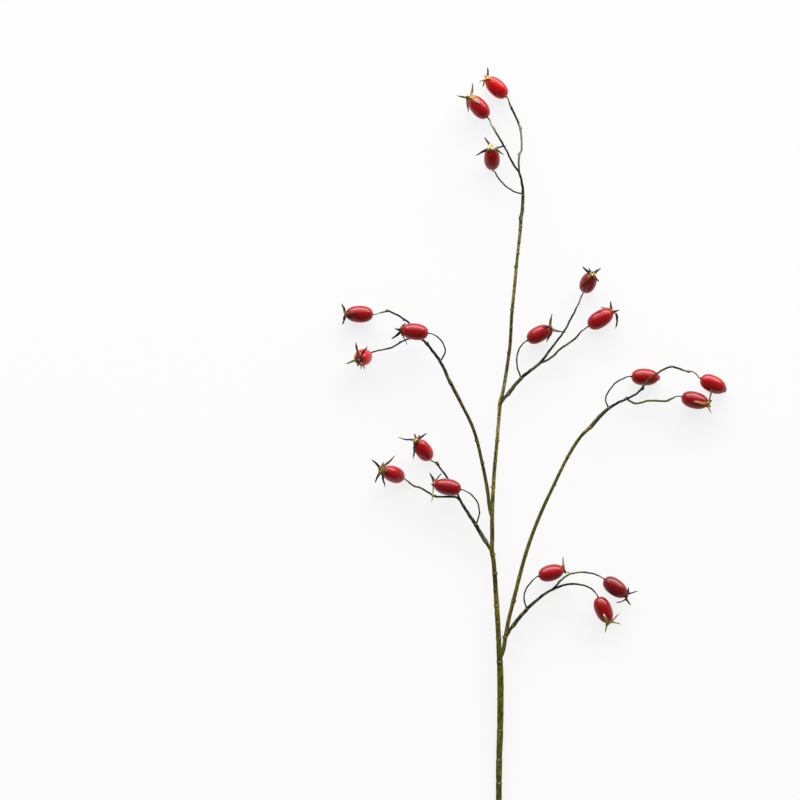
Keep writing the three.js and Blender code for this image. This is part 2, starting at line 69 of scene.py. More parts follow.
ROUTES = {
    "main_stem": [
        (0, 0, 2, 2.3), (-0.2, 50, 2.8, 2.3), (0, 82, 3.6, 2.5), (0.8, 107, 4.2, 2.5),
        (1, 130, 4.8, 2.55), (0.8, 154, 5.6, 2.6), (0.2, 165, 6, 2.3), (-0.5, 180, 6.5, 2),
        (-2.3, 210, 7.5, 2), (-2.9, 219, 8, 1.85), (-4.8, 243, 8.9, 1.8), (-6, 250, 9.2, 1.9),
        (-5.7, 258, 9.5, 1.7), (-5.7, 280, 10.4, 1.6), (-4.8, 301, 11, 1.5), (-4, 314, 11.4, 1.5),
        (-1.9, 338, 12, 1.4), (-0.4, 356, 12.4, 1.35), (0.6, 368, 12.7, 1.7), (2.6, 376, 13, 1.35),
        (5.7, 394, 13.3, 1.35), (8.3, 413, 13.6, 1.3), (9.8, 438, 14, 1.3), (12.3, 464, 14, 1.3),
        (14.5, 487, 13.8, 1.2), (16.6, 506, 13.4, 1.3), (17, 516, 13, 1.6),
    ],
    "right_arm": [
        (0.4, 163, 6, 1.6), (3.4, 171, 6.8, 1.6), (4.9, 181, 7.6, 1.7), (7.1, 193, 8.4, 1.5),
        (11, 209, 9.5, 1.6), (20.8, 247, 12, 1.5), (30.6, 274.5, 13.5, 1.4), (43.5, 303, 15, 1.3),
        (54.4, 325, 15.5, 1.3), (64.6, 341, 15.5, 1.3), (73.2, 349.3, 15.5, 1.5),
    ],
    "left_arm": [
        (-5.8, 276, 10.2, 1.4), (-7.6, 283, 10.6, 1.4), (-9.8, 300, 11.5, 1.4),
        (-13.8, 320, 12.5, 1.3), (-18, 338, 13.3, 1.3), (-22, 350, 13.8, 1.3),
        (-30.4, 367, 14, 1.3), (-39.7, 385, 14, 1.5),
    ],
    "top_spray_stalk": [
        (17, 515.2, 13, 1.5), (18.2, 522, 13, 1.4), (18.6, 534, 12.6, 1.2), (18.2, 541, 12.4, 1),
        (15.8, 550.5, 13, 0.9), (10, 559, 16.5, 0.8), (5.6, 567.5, 20.8, 0.7),
        (1.5, 574.5, 22.6, 0.8), (-5.1, 586, 18.5, 0.8),
    ],
    "top_pedicel_2": [
        (15.8, 550.5, 13, 0.7), (15.4, 563, 13.5, 0.8), (17.4, 569, 13.5, 0.8),
        (17.4, 575, 13, 0.8), (16.6, 586, 11.5, 0.9), (9.6, 603.5, 8, 0.8), (7.6, 608.5, 6.5, 0.6),
    ],
    "top_pedicel_3": [
        (18.6, 534, 12.6, 0.6), (11, 536.5, 10.5, 0.6), (3.6, 542, 7.5, 0.6), (-0.8, 547.5, 5, 0.6),
        (-3.5, 552.5, 3.4, 0.6),
    ],
    "upper_right_spray_stalk": [
        (1.2, 367.5, 12.7, 1.1), (5.4, 373.2, 12.6, 1.2), (6.4, 374.4, 12.6, 1.7),
        (17.4, 387.4, 12, 1.4), (25.6, 394.2, 11.5, 1.2), (32, 399.4, 11, 1.1),
        (41.8, 411.6, 10, 0.9), (51.7, 425, 8.5, 0.8), (57.6, 435.5, 7, 0.8), (63.2, 446.5, 5, 0.7),
        (66.6, 454.5, 3.3, 0.6),
    ],
    "upper_right_pedicel_2": [
        (32, 399.4, 11, 0.9), (40, 402.8, 11.5, 0.8), (48, 410, 11.2, 0.8), (61.2, 419.8, 9.2, 0.8),
        (65.4, 424.6, 8, 0.6),
    ],
    "upper_right_pedicel_3": [
        (17.2, 387.2, 12, 0.7), (14, 398, 11.5, 0.6), (14.2, 406, 10.5, 0.6),
        (16.8, 412.4, 9.4, 0.6),
    ],
    "right_arm_spray_stalk": [
        (72.7, 348.8, 15.5, 1.7), (80.6, 357.8, 15, 1.5), (86.8, 363.4, 14.8, 1.3),
        (93.9, 367.6, 15, 1), (100.8, 370.8, 15.6, 0.9), (108.4, 374.8, 17.4, 0.8),
        (113.2, 379.6, 18.6, 0.8), (118, 386, 19, 0.8), (125.6, 391.6, 18.6, 0.8),
        (135.2, 396.2, 17.2, 0.8), (139.4, 396, 16.4, 0.8), (148.6, 393, 14, 0.8),
        (153.4, 392.7, 12.5, 0.6), (156.4, 391, 11.2, 0.6),
    ],
    "right_arm_pedicel_2": [
        (100.8, 370.8, 15.6, 0.8), (108.6, 367.2, 15, 0.8), (118, 369.4, 13, 0.8),
        (132.4, 369.2, 9.2, 0.8), (136, 370.4, 8, 0.8), (140.8, 372.6, 6, 0.6),
    ],
    "right_arm_pedicel_3": [
        (86.8, 363.4, 14.8, 0.7), (84.6, 370, 14, 0.6), (86.4, 376, 13, 0.6),
        (92.4, 383.4, 11.4, 0.6), (99.2, 387.4, 10, 0.6),
    ],
    "lower_right_spray_stalk": [
        (5, 180.5, 7.6, 1.2), (9.4, 188, 8.6, 1.3), (10.8, 190, 8.8, 1.7), (22.2, 203.6, 9.5, 1.4),
        (29.6, 210, 10, 1.2), (37.6, 216.4, 10.5, 1), (49.8, 222, 11, 0.9), (58.4, 223.6, 11, 0.8),
        (67.4, 222.2, 10.4, 0.7), (72.2, 220.4, 9.8, 0.7), (75.8, 217.2, 8.8, 0.6),
    ],
    "lower_right_pedicel_2": [
        (37.6, 216.4, 10.5, 0.8), (43, 220, 11.5, 0.8), (48, 225.4, 13, 0.8),
        (53.8, 230.4, 13.4, 0.8), (58.6, 232.2, 13.2, 0.7), (67, 232.8, 12, 0.7),
        (75.6, 231.4, 9.8, 0.6),
    ],
    "lower_right_pedicel_3": [
        (21.8, 203.2, 9.5, 0.7), (19.6, 213, 10.5, 0.6), (21.6, 220, 11.5, 0.6),
        (26, 225.8, 12.6, 0.6),
    ],
    "lower_left_spray_stalk": [
        (-5.9, 248.5, 9.2, 1.2), (-9.2, 254.2, 9, 1.3), (-10.4, 256.2, 8.8, 1.8),
        (-19.2, 271, 8, 1.5), (-28.8, 285.6, 6.4, 1.1), (-32.4, 291.4, 5.6, 1),
        (-36.4, 292.8, 5.2, 0.9), (-51.6, 293, 4.6, 0.8), (-57, 296.4, 4.4, 0.8),
        (-63.4, 300, 4, 0.8), (-68.4, 301.6, 3.6, 0.7),
    ],
    "lower_left_pedicel_2": [
        (-28.8, 285.6, 6.4, 0.8), (-33.2, 294.6, 5, 0.8), (-41.2, 307.6, 4, 0.8),
        (-45.4, 313.4, 3.6, 0.8), (-50.4, 319.4, 3, 0.7),
    ],
    "lower_left_pedicel_3": [
        (-18.6, 270.4, 8, 0.7), (-16.4, 277, 9.5, 0.6), (-16, 283, 11, 0.6),
        (-18.4, 289.8, 12.4, 0.6), (-23.8, 295.8, 13.2, 0.6),
    ],
    "left_arm_spray_stalk": [
        (-39.4, 384.2, 14, 1.4), (-47.6, 401.2, 12.6, 1.2), (-58.8, 415.8, 9.6, 1),
        (-64.4, 420.4, 8.6, 0.9), (-69.6, 429, 8.4, 0.8), (-76, 434.4, 8.6, 0.8),
        (-82, 438, 8.4, 0.8), (-89, 440.8, 8, 0.7), (-95, 439.6, 7.4, 0.6),
    ],
    "left_arm_pedicel_2": [
        (-64.4, 420.4, 8.6, 0.7), (-73.2, 418.6, 7.4, 0.7), (-79, 415.8, 6.6, 0.7),
        (-86.4, 411.8, 5, 0.7), (-97.4, 409.4, 3, 0.6), (-102, 407.8, 2.2, 0.6),
    ],
    "left_arm_pedicel_3": [
        (-47.2, 400.6, 12.6, 0.7), (-43.4, 408, 15, 0.6), (-44.6, 414.6, 16.6, 0.6),
        (-49.8, 420.4, 17.4, 0.6),
    ],
}

# A hip is x and y of its middle, the compass heading and the upward pitch of its axis from
# stalk to calyx in degrees, its size, how bright its red is, the look of its cup, how much
# further out than usual its sepals start, on a longer cup, and its five sepals. A sepal is the
# angle round the axis (0 is the left side, 90 the top, 180 the right), the spread away from the
# axis, the length, and the look. A number after those is the turn of a side branch, and one
# more is how far the sepal bows outwards.

NUB_SEPALS = [
    (215, 100, 1.6, "wine"), (240, 90, 1.4, "wine"), (262, 80, 1.3, "wine"),
    (284, 90, 1.4, "wine"), (308, 100, 1.6, "wine"),
]
HIPS = {
    "top": [
        (-16.5, 603.5, 130, -2, 0.965, 0.5, "olive", 0, [
            (188, 54, 10.2, "olive"), (17, 50, 9.5, "moss"), (346, 136, 13, "lime"),
            (103, 149, 12.7, "cream"), (270, 85, 6, "brown"),
        ]),
        (-2.2, 619.4, 137, 8, 0.955, 1, "amber", 0, [
            (195, 56, 8.1, "smoke"), (19, 73, 6.4, "straw", 50), (335, 119, 8.4, "straw"),
            (105, 125, 5.9, "amber"), (265, 80, 6, "brown"),
        ]),
        (-5.9, 562.6, 94, 40, 0.925, 0.4, "cream", 0, [
            (292, 83, 11.8, "rust"), (21, 107, 14, "black"), (152, 74, 13.5, "plum"),
            (145, 109, 12.1, "moss"), (70, 60, 5, "gold"),
        ]),
    ],
    "upper_right": [
        (70.9, 463.6, 68, 51, 0.945, 0.3, "gold", 0, [
            (349, 84, 9.2, "black"), (322, 81, 5.1, "bronze"), (237, 79, 8.3, "brown"),
            (148, 99, 7.9, "brown"), (65, 141, 15.4, "bronze"),
        ]),
        (80.7, 434.8, 32, 2, 1, 0.45, "rose", 0, [
            (10, 73, 7.7, "ash"), (110, 50, 6.9, "ash"), (178, 117, 13.9, "black", 0, 2),
            (333, 134, 10.8, "rose"), (255, 85, 5, "brown"),
        ]),
        (31.6, 422.6, 29, 4, 0.935, 0.35, "brown", 0, [
            (17, 57, 10.7, "bronze"), (191, 49, 9.9, "bronze"), (166, 139, 12.4, "rust"),
            (65, 129, 10.6, "brown"), (268, 85, 6, "brown"),
        ]),
    ],
    "right_arm": [
        (170.6, 382.5, -25, -9, 0.995, 0.5, "nub", 0, NUB_SEPALS),
        (156, 369.7, -15, 14, 0.985, 0.25, "leaf", 0, [
            (99, 148, 13.5, "honey"), (28, 93, 12.4, "straw", -45), (189, 61, 6.8, "straw"),
            (250, 80, 5, "brown"), (310, 85, 5, "brown"),
        ]),
        (116.3, 388.3, -2, -6, 0.99, 0.35, "nub", 0, NUB_SEPALS),
    ],
    "lower_right": [
        (83.3, 202.5, -66.5, 2, 0.985, 0.25, "leaf", 0, [
            (102, 146, 11.5, "gold"), (8, 116, 11.1, "reed", 50), (346, 62, 8.9, "reed"),
            (183, 45, 7.1, "lime"), (262, 80, 5, "brown"),
        ]),
        (92.6, 220.4, -36.5, 5, 0.975, 0.05, "rust", 0, [
            (21, 122, 7.6, "smoke"), (351, 61, 8.9, "thorn"), (205, 31, 7.6, "umber"),
            (167, 118, 10.3, "thorn", 0, 1.5), (268, 85, 5, "rust"),
        ]),
        (41.3, 232.3, 15, -14, 0.95, 0.3, "rust", 0, [
            (8, 84, 9.2, "straw"), (202, 41, 5.5, "straw"), (250, 60, 3, "rust"),
            (320, 100, 4, "rust"), (165, 100, 3.5, "rust"),
        ]),
    ],
    "lower_left": [
        (-84.5, 310.9, 157, 42, 0.96, 0.5, "funnel", 3, [
            (249, 75, 11.4, "black"), (184, 89, 5.4, "black"), (153, 97, 15.7, "bronze"),
            (358, 93, 11.3, "brown"), (41, 103, 15, "black"),
        ]),
        (-60.7, 330.1, 126, 33, 0.95, 0.6, "gold", 1, [
            (309, 83, 17, "blush"), (193, 82, 4.5, "rose"), (159, 86, 10.6, "smoke"),
            (45, 113, 16.3, "black"), (250, 70, 5, "brown"),
        ]),
        (-41.2, 300.8, 169, 0, 0.965, 0.2, "rose", 0, [
            (193, 61, 9.1, "brown"), (162, 118, 11.7, "rose"), (13, 97, 14.2, "reed"),
            (85, 77, 5.3, "black"), (272, 75, 5, "brown"),
        ]),
    ],
    "left_arm": [
        (-111.6, 438.5, 179, 0, 0.985, 0.3, "funnel", 0, [
            (192, 75, 8.2, "black"), (90, 147, 13.8, "umber"), (60, 138, 9, "brown"),
            (350, 82, 8.3, "black"), (242, 84, 6.1, "brown"),
        ]),
        (-108.8, 403.8, 208, 72, 0.98, 0.8, "dark", 0, [
            (161, 92, 13.3, "umber"), (116, 94, 12.3, "umber"), (259, 91, 11, "olive"),
            (325, 88, 5.2, "rust"), (4, 99, 8.7, "rose", -50),
        ]),
        (-67.4, 424.4, 173, 0, 0.965, 0.3, "brown", 0, [
            (342, 53, 9.9, "black"), (25, 125, 14, "thorn"), (92, 42, 5.9, "black"),
            (170, 128, 7, "bronze"), (262, 85, 7, "brown"),
        ]),
    ],
}

# ---- the bark's joints

# A joint is x and y of the nearest point of the route, and its strength. It is a ring, a swollen
# joint with a dark line of painted shade beside it, unless it opens. At a socket the stem above
# sits in the wider stem below, and at a collar the thick end of a shoot sits on the thinner stub
# below it.

SOCKET, COLLAR = 1, -1  # which way the opening faces: up the stem or down it

JOINTS = {
    "main_stem": [
        (-0.1, 65, 1, SOCKET), (0, 83, 1, SOCKET), (0.8, 107, 1, SOCKET), (1, 131, 0.4),
        (0.4, 161, 0.6), (-0.5, 180, 0.8), (-1.3, 193, 0.5), (-2.1, 206.5, 1), (-2.9, 219.5, 0.8),
        (-3.9, 232, 1), (-5.7, 247, 0.8), (-5.7, 269, 0.4), (-5.7, 280.7, 1), (-4.8, 301, 1),
        (-3.4, 322, 0.4), (-1.9, 338, 0.8), (-0.4, 356, 0.7), (2.2, 374.5, 0.8), (5, 390, 0.4),
        (7.6, 408, 0.8), (9.2, 428, 1, SOCKET), (10.2, 442, 0.5), (12.3, 464, 0.6),
        (13.4, 476, 0.9), (14.5, 487, 1), (15.5, 496, 0.7), (16.6, 506, 0.7), (17, 514.6, 0.6),
    ],
    "right_arm": [
        (4.9, 181, 1), (7.4, 194, 0.4), (11.2, 210, 1.2), (16, 229, 0.5), (21, 247.6, 0.9),
        (30.6, 274.5, 0.7), (37, 289, 0.4), (43.5, 303, 0.8), (54.4, 325, 0.7), (72.2, 348.4, 1.2),
    ],
    "left_arm": [
        (-7, 281, 0.7), (-9.8, 300, 0.7), (-13.8, 320, 0.8), (-18, 338, 0.8), (-24, 354, 0.5),
        (-39, 383.6, 1.2),
    ],
    "top_spray_stalk": [
        (17.4, 518.4, 0.3, COLLAR), (18.6, 533, 0.8), (16, 550, 0.8), (5.6, 567.5, 0.6),
        (-5, 585.5, 1),
    ],
    "top_pedicel_2": [(17.4, 570, 0.8), (16.4, 586.5, 1), (9.6, 603.6, 1.2)],
    "top_pedicel_3": [(11, 536.5, 0.4)],
    "upper_right_spray_stalk": [
        (6.2, 374.2, 1, COLLAR), (17.2, 387.2, 0.6), (32, 399.4, 0.8), (51.7, 425, 0.8),
        (63.2, 446.5, 0.8),
    ],
    "upper_right_pedicel_2": [(48, 410, 0.8), (61.4, 420, 1)],
    "upper_right_pedicel_3": [(14.1, 403, 0.4)],
    "right_arm_spray_stalk": [
        (74.6, 351, 0.45, COLLAR), (87, 363.6, 0.8), (100.8, 370.8, 0.8), (115, 381.8, 1),
        (125.6, 391.6, 0.6), (136, 396.4, 0.8), (151, 393.2, 1),
    ],
    "right_arm_pedicel_2": [(108.6, 367.2, 0.6), (135, 370, 1)],
    "right_arm_pedicel_3": [(84.9, 372.4, 0.4)],
    "lower_right_spray_stalk": [
        (10.6, 189.8, 1, COLLAR), (22, 203.4, 0.7), (37.6, 216.4, 0.8), (58.4, 223.6, 0.7),
        (71, 221, 0.8),
    ],
    "lower_right_pedicel_2": [(48, 225.4, 0.7), (58.6, 232.2, 1)],
    "lower_right_pedicel_3": [(20, 216, 0.4)],
    "lower_left_spray_stalk": [
        (-10.3, 256, 1, COLLAR), (-19, 270.8, 0.7), (-29, 286, 0.8), (-51.6, 293, 0.8),
        (-63.4, 300, 0.6), (-68, 301.5, 1),
    ],
    "lower_left_pedicel_2": [(-41.2, 307.6, 0.7), (-50, 319, 1)],
    "lower_left_pedicel_3": [(-16.1, 280, 0.4)],
    "left_arm_spray_stalk": [
        (-40.8, 387.4, 0.7, COLLAR), (-47.6, 401.2, 0.7), (-58.4, 415.4, 1), (-64, 420, 0.8),
        (-76, 434.4, 0.8), (-89, 440.8, 1),
    ],
    "left_arm_pedicel_2": [(-79, 415.8, 0.6), (-97, 409.5, 1)],
    "left_arm_pedicel_3": [(-44, 412, 0.4)],
}

# Small pointed bud scales: x and y of the nearest point of the route, the side that the bud
# is on (0 is the left, 90 the top, 180 the right), and its size.

BUDS = {
    "main_stem": [
        (0.4, 161, 90, 0.9), (-2.1, 206.5, 20, 0.8), (-3.9, 232, 160, 0.8), (-5.7, 253.5, 10, 1.1),
        (-5.7, 247, 180, 0.8), (-4.8, 301, 10, 1), (-1.9, 338, 170, 0.8), (2.2, 374.5, 200, 0.8),
        (7.6, 408, 20, 0.9), (10.2, 442, 10, 0.9), (13.4, 476, 0, 1), (14.5, 487, 170, 0.8),
        (16.6, 506, 30, 0.7), (1, 131, 250, 0.8),
    ],
    "right_arm": [
        (4.9, 181, 0, 1), (11.2, 210, 170, 0.9), (22, 250, 60, 0.9), (43.5, 303, 180, 0.8),
        (54.4, 325, 20, 0.7),
    ],
    "left_arm": [(-13.8, 320, 170, 0.8), (-18, 338, 10, 0.9), (-30.4, 367, 60, 0.7)],
    "top_pedicel_2": [(15.6, 566, 0, 1.1), (16.4, 586.5, 180, 0.8), (9.6, 602.6, 20, 1.1)],
    "top_spray_stalk": [(-5, 585.5, 160, 0.8), (10, 559, 200, 0.7)],
    "upper_right_spray_stalk": [(51.7, 425, 170, 0.8), (33, 400.5, 90, 0.7)],
    "right_arm_spray_stalk": [
        (101.6, 371.4, 20, 1.3), (113.4, 379.6, 180, 1.4), (151, 393.2, 170, 1.1),
    ],
    "right_arm_pedicel_2": [(135.4, 370, 20, 0.9)],
    "lower_right_spray_stalk": [(58.4, 223.6, 170, 0.7)],
    "lower_right_pedicel_2": [(48, 225.4, 10, 0.8)],
    "lower_left_spray_stalk": [(-51.6, 293, 170, 0.9), (-32.4, 291, 20, 0.8)],
    "lower_left_pedicel_2": [(-41.2, 307.6, 20, 0.8), (-50, 319.6, 180, 1.7)],
    "left_arm_spray_stalk": [(-58, 415, 170, 1.6), (-76, 434.4, 20, 0.9), (-90, 440.8, 170, 1.2)],
    "left_arm_pedicel_2": [(-79, 415.8, 170, 0.8)],
}

# ---- colours, 0 to 255 as written

BARK_TONES = {
    "fern": (74, 76, 28), "moss": (88, 92, 18), "olive": (86, 88, 32), "golden": (106, 97, 32),
    "straw": (134, 124, 60), "khaki": (112, 106, 54), "tan": (128, 114, 66), "umber": (76, 63, 26),
    "rust": (98, 78, 42), "loam": (72, 70, 22), "pitch": (24, 22, 16), "sage": (136, 138, 110),
    "bronze": (72, 64, 32), "slate": (70, 70, 38),
}

# The colours of the main stem and the arms, from the y of each place.

STEM_BANDS = {
    "main_stem": [
        (0, "fern"), (63, "fern"), (67, "olive"), (83, "olive"), (112, "moss"), (155, "moss"),
        (160, "fern"), (168, "olive"), (186, "golden"), (200, "golden"), (206, "straw"),
        (216, "golden"), (222, "umber"), (236, "umber"), (242, "rust"), (252, "golden"),
        (258, "golden"), (262, "rust"), (276, "golden"), (284, "straw"), (292, "olive"),
        (300, "straw"), (310, "golden"), (328, "golden"), (340, "straw"), (358, "straw"),
        (366, "khaki"), (374, "straw"), (386, "tan"), (400, "rust"), (420, "umber"),
        (434, "umber"), (454, "tan"), (464, "straw"), (484, "tan"), (500, "tan"), (516, "khaki"),
    ],
    "right_arm": [
        (163, "olive"), (181, "golden"), (240, "golden"), (275, "olive"), (295, "olive"),
        (325, "golden"), (340, "olive"), (350, "khaki"),
    ],
    "left_arm": [
        (276, "golden"), (290, "olive"), (320, "loam"), (345, "loam"), (362, "umber"),
        (376, "umber"), (386, "bronze"),
    ],
}

# The colours of the thinner stems, from the share of their length, and of their paler patches.

STALK_BANDS = [(0, "slate"), (0.16, "slate"), (0.26, "pitch"), (0.95, "pitch"), (1, "slate")]
PEDICEL_BANDS = [(0, "bronze"), (0.15, "pitch"), (1, "pitch")]
OWN_BANDS = {
    "top_spray_stalk": [
        (0, "tan"), (0.12, "rust"), (0.2, "pitch"), (0.76, "pitch"), (0.84, "sage"), (0.93, "sage"),
        (0.96, "pitch"), (1, "pitch"),
    ],
    "top_pedicel_2": [
        (0, "umber"), (0.06, "umber"), (0.1, "slate"), (0.2, "sage"), (0.6, "sage"),
        (0.64, "pitch"), (0.9, "pitch"), (1, "slate"),
    ],
    "upper_right_spray_stalk": [
        (0, "bronze"), (0.18, "slate"), (0.26, "pitch"), (0.8, "pitch"), (0.86, "sage"),
        (1, "sage"),
    ],
    "right_arm_spray_stalk": [
        (0, "slate"), (0.16, "slate"), (0.2, "pitch"), (0.5, "pitch"), (0.54, "umber"),
        (0.68, "umber"), (0.72, "pitch"), (0.8, "pitch"), (0.84, "sage"), (0.93, "sage"),
        (1, "slate"),
    ],
    "right_arm_pedicel_3": [(0, "pitch"), (1, "pitch")],
    "right_arm_pedicel_2": [
        (0, "golden"), (0.1, "olive"), (0.8, "olive"), (0.9, "golden"), (1, "olive"),
    ],
    "left_arm_spray_stalk": [
        (0, "slate"), (0.2, "pitch"), (0.88, "pitch"), (0.93, "sage"), (1, "sage"),
    ],
    "lower_right_pedicel_2": [
        (0, "bronze"), (0.15, "pitch"), (0.25, "slate"), (0.44, "rust"), (0.5, "tan"),
        (0.58, "tan"), (0.66, "pitch"), (1, "pitch"),
    ],
}
PATCH_TONE = (96, 98, 76)

# A sepal's shape, and its colours about a third and two thirds along, and at its tip. At the
# calyx it has the colour of the cup's rim.

SEPAL_LOOKS = {
    "black": ("broad", (28, 22, 15), (16, 14, 11), (22, 20, 18)),
    "ash": ("pointed", (44, 38, 30), (34, 32, 30), (66, 64, 64)),
    "smoke": ("pointed", (96, 66, 40), (52, 46, 38), (44, 46, 42)),
    "brown": ("broad", (108, 68, 36), (58, 40, 26), (30, 24, 18)),
    "rust": ("broad", (112, 62, 38), (66, 42, 30), (36, 27, 20)),
    "umber": ("broad", (122, 78, 52), (98, 62, 44), (60, 44, 32)),
    "olive": ("pointed", (146, 136, 58), (114, 106, 50), (90, 84, 48)),
    "bronze": ("pointed", (150, 110, 50), (84, 66, 34), (36, 30, 20)),
    "moss": ("pointed", (104, 118, 44), (76, 94, 36), (90, 96, 56)),
    "plum": ("pointed", (150, 136, 76), (90, 76, 56), (108, 92, 104)),
    "wine": ("pointed", (150, 12, 18), (142, 12, 18), (130, 12, 18)),
    "lime": ("pointed", (172, 160, 76), (150, 142, 66), (124, 120, 62)),
    # The pale pinkish tips of the "gold" and "cream" sepals are partly a painted highlight.
    "gold": ("strap", (150, 124, 60), (186, 152, 96), (228, 190, 164)),
    "honey": ("strap", (150, 124, 56), (174, 138, 78), (190, 148, 104)),
    "cream": ("blunt", (166, 146, 84), (190, 158, 110), (240, 200, 186)),
    "amber": ("blunt", (228, 164, 90), (220, 156, 88), (184, 116, 66)),
    "straw": ("thread", (196, 154, 66), (166, 134, 62), (120, 104, 60)),
    "reed": ("wisp", (172, 170, 76), (146, 146, 70), (100, 102, 64)),
    "thorn": ("wisp", (46, 32, 22), (22, 18, 14), (28, 24, 20)),
    "rose": ("thread", (200, 120, 88), (130, 90, 70), (60, 54, 52)),
    "blush": ("thread", (96, 66, 40), (44, 34, 28), (168, 128, 112)),
}

# A cup's size, the colours of its rim and of the disc in its middle, and how far up the sepals
# the rim's colour runs, as a share.

CUP_LOOKS = {
    "olive": (1.05, (164, 144, 78), (196, 184, 112), 0.14),
    "amber": (1.3, (228, 164, 90), (240, 192, 122), 0.16),
    "cream": (1.3, (204, 194, 148), (232, 224, 184), 0.3),
    "gold": (1.1, (160, 128, 66), (240, 226, 186), 0.12),
    "leaf": (1.5, (160, 136, 52), (130, 112, 46), 0.16),
    "funnel": (1.3, (138, 108, 54), (160, 130, 72), 0.2),
    "brown": (1.05, (118, 80, 44), (172, 130, 82), 0.12),
    "dark": (1.45, (96, 50, 30), (240, 238, 232), 0.2),
    "rust": (1.05, (124, 72, 40), (130, 76, 46), 0.12),
    "rose": (1.1, (206, 138, 104), (220, 160, 130), 0.14),
    "nub": (0.32, (150, 10, 18), (132, 12, 18), 0.2),
}

# ---- from the drawing to the frame


def drawing_origin():
    """Where the drawing's origin is in the frame, in metres, from where the hips were put."""
    moves = []
    for spray, hips in HIPS.items():
        for number, (x, y, *_) in enumerate(hips, 1):
            low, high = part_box(f"{spray}_hip_{number}")
            middle = (low + high) / 2
            moves.append((middle.x - x * MM, middle.y - y * MM, 0))
    return np.mean(moves, axis=0)


ORIGIN = drawing_origin()


def to_frame(points):
    return np.asarray(points, float) * MM + ORIGIN


# ---- curves, noise and colours

UP = np.array([0.0, 0.0, 1.0])
SPAN_STEPS = 24  # how finely a curve is followed between two rows of its route


def smooth_route(route, step):
    """Points a step apart on the centripetal Catmull-Rom curve through a route's rows, how far
    along it each is, and the radius there."""
    rows = np.array(route, float)
    posts = np.vstack([2 * rows[0] - rows[1], rows, 2 * rows[-1] - rows[-2]])[:, :3]
    share = np.linspace(0, 1, SPAN_STEPS, endpoint=False)[:, None]
    square, cube = share**2, share**3
    fine = []
    for p0, p1, p2, p3 in zip(posts, posts[1:], posts[2:], posts[3:]):
        d0, d1, d2 = (math.sqrt(np.linalg.norm(b - a)) for a, b in ((p0, p1), (p1, p2), (p2, p3)))
        leaves = ((p1 - p0) / d0 - (p2 - p0) / (d0 + d1) + (p2 - p1) / d1) * d1
        arrives = ((p2 - p1) / d1 - (p3 - p1) / (d1 + d2) + (p3 - p2) / d2) * d1
        first = p1 * (2 * cube - 3 * square + 1) + leaves * (cube - 2 * square + share)
        fine.append(first + p2 * (3 * square - 2 * cube) + arrives * (cube - square))
    fine = np.vstack([*fine, rows[-1:, :3]])
    lengths = np.concatenate([[0], np.cumsum(np.linalg.norm(np.diff(fine, axis=0), axis=1))])
    reached = np.linspace(0, lengths[-1], max(3, round(lengths[-1] / step) + 1))
    points = np.stack([np.interp(reached, lengths, fine[:, k]) for k in range(3)], axis=1)
    passed = np.interp(reached, lengths, np.linspace(0, len(rows) - 1, len(fine)))
    return points, reached, soften(np.interp(passed, np.arange(len(rows)), rows[:, 3]), 2)


def unit(vectors):
    return vectors / np.linalg.norm(vectors, axis=-1, keepdims=True)


def level_frames(points):
    """The directions along, to the left and to the top of a curve at each of its points."""
    along = unit(np.gradient(points, axis=0))
    left = unit(np.cross(UP, along))
    return along, left, np.cross(along, left)


def turns(sides):
    """The angles of a ring's points, and the cosine and sine of each."""
    angles = np.arange(sides) * 2 * math.pi / sides
    return angles, np.stack([np.cos(angles), np.sin(angles)], 1)


def tube(points, left, top, turn, radius):
    """Rings round points, with a radius for each point of a ring."""
    outward = left[:, None] * turn[None, :, :1] + top[:, None] * turn[None, :, 1:]
    return points[:, None] + outward * radius[..., None]


def bent(start, middle, end, share):
    """Points at shares of a line that bends from its start to its end, towards a middle."""
    return start * (1 - share) ** 2 + middle * 2 * share * (1 - share) + end * share**2


def soften(values, reach):
    """Values averaged over their neighbours, up to reach places away."""
    window = np.ones(2 * reach + 1) / (2 * reach + 1)
    return np.convolve(np.pad(values, reach, mode="edge"), window, mode="valid")


def hump(distance, width):
    return np.exp(-((distance / width) ** 2))


def smooth_step(value, low, high):
    share = np.clip((value - low) / (high - low), 0, 1)
    return share * share * (3 - 2 * share)


def grain(points, size, seed):
    """Smooth noise from -1 to 1 at each point, with features of about that size. A number added
    to the seed gives noise that is unlike the rest of its piece's."""
    shift = Vector((seed * 17.3, seed * 5.1, seed * 9.7))
    flat = np.asarray(points, float).reshape(-1, 3) / size
    values = [noise.noise(Vector(point) + shift) for point in flat]
    return np.array(values).reshape(np.shape(points)[:-1])


def grain_along(reached, size, seed):
    """Smooth noise along a line."""
    return grain(np.outer(reached, [1, 0, 0]), size, seed)


def linear(written):
    """Colours as written, 0 to 255, as the linear colours that a shader takes."""
    shares = np.asarray(written, float) / 255
    return np.where(shares <= 0.04045, shares / 12.92, ((shares + 0.055) / 1.055) ** 2.4)


def between(where, places, colours):
    """The linear colours at the given places between colours as written at others."""
    channels = [np.interp(where, places, channel) for channel in zip(*colours)]
    return linear(np.stack(channels, -1))


def banded(where, bands):
    """The linear colours at the given places between bands of bark."""
    places, names = zip(*bands)
    return between(where, places, [BARK_TONES[name] for name in names])


# ---- shells and pieces

FLOOR_GAP = 0.1  # how far above the floor the lowest points stay
FLOOR_EASE = 0.5  # and the height over which they are eased up


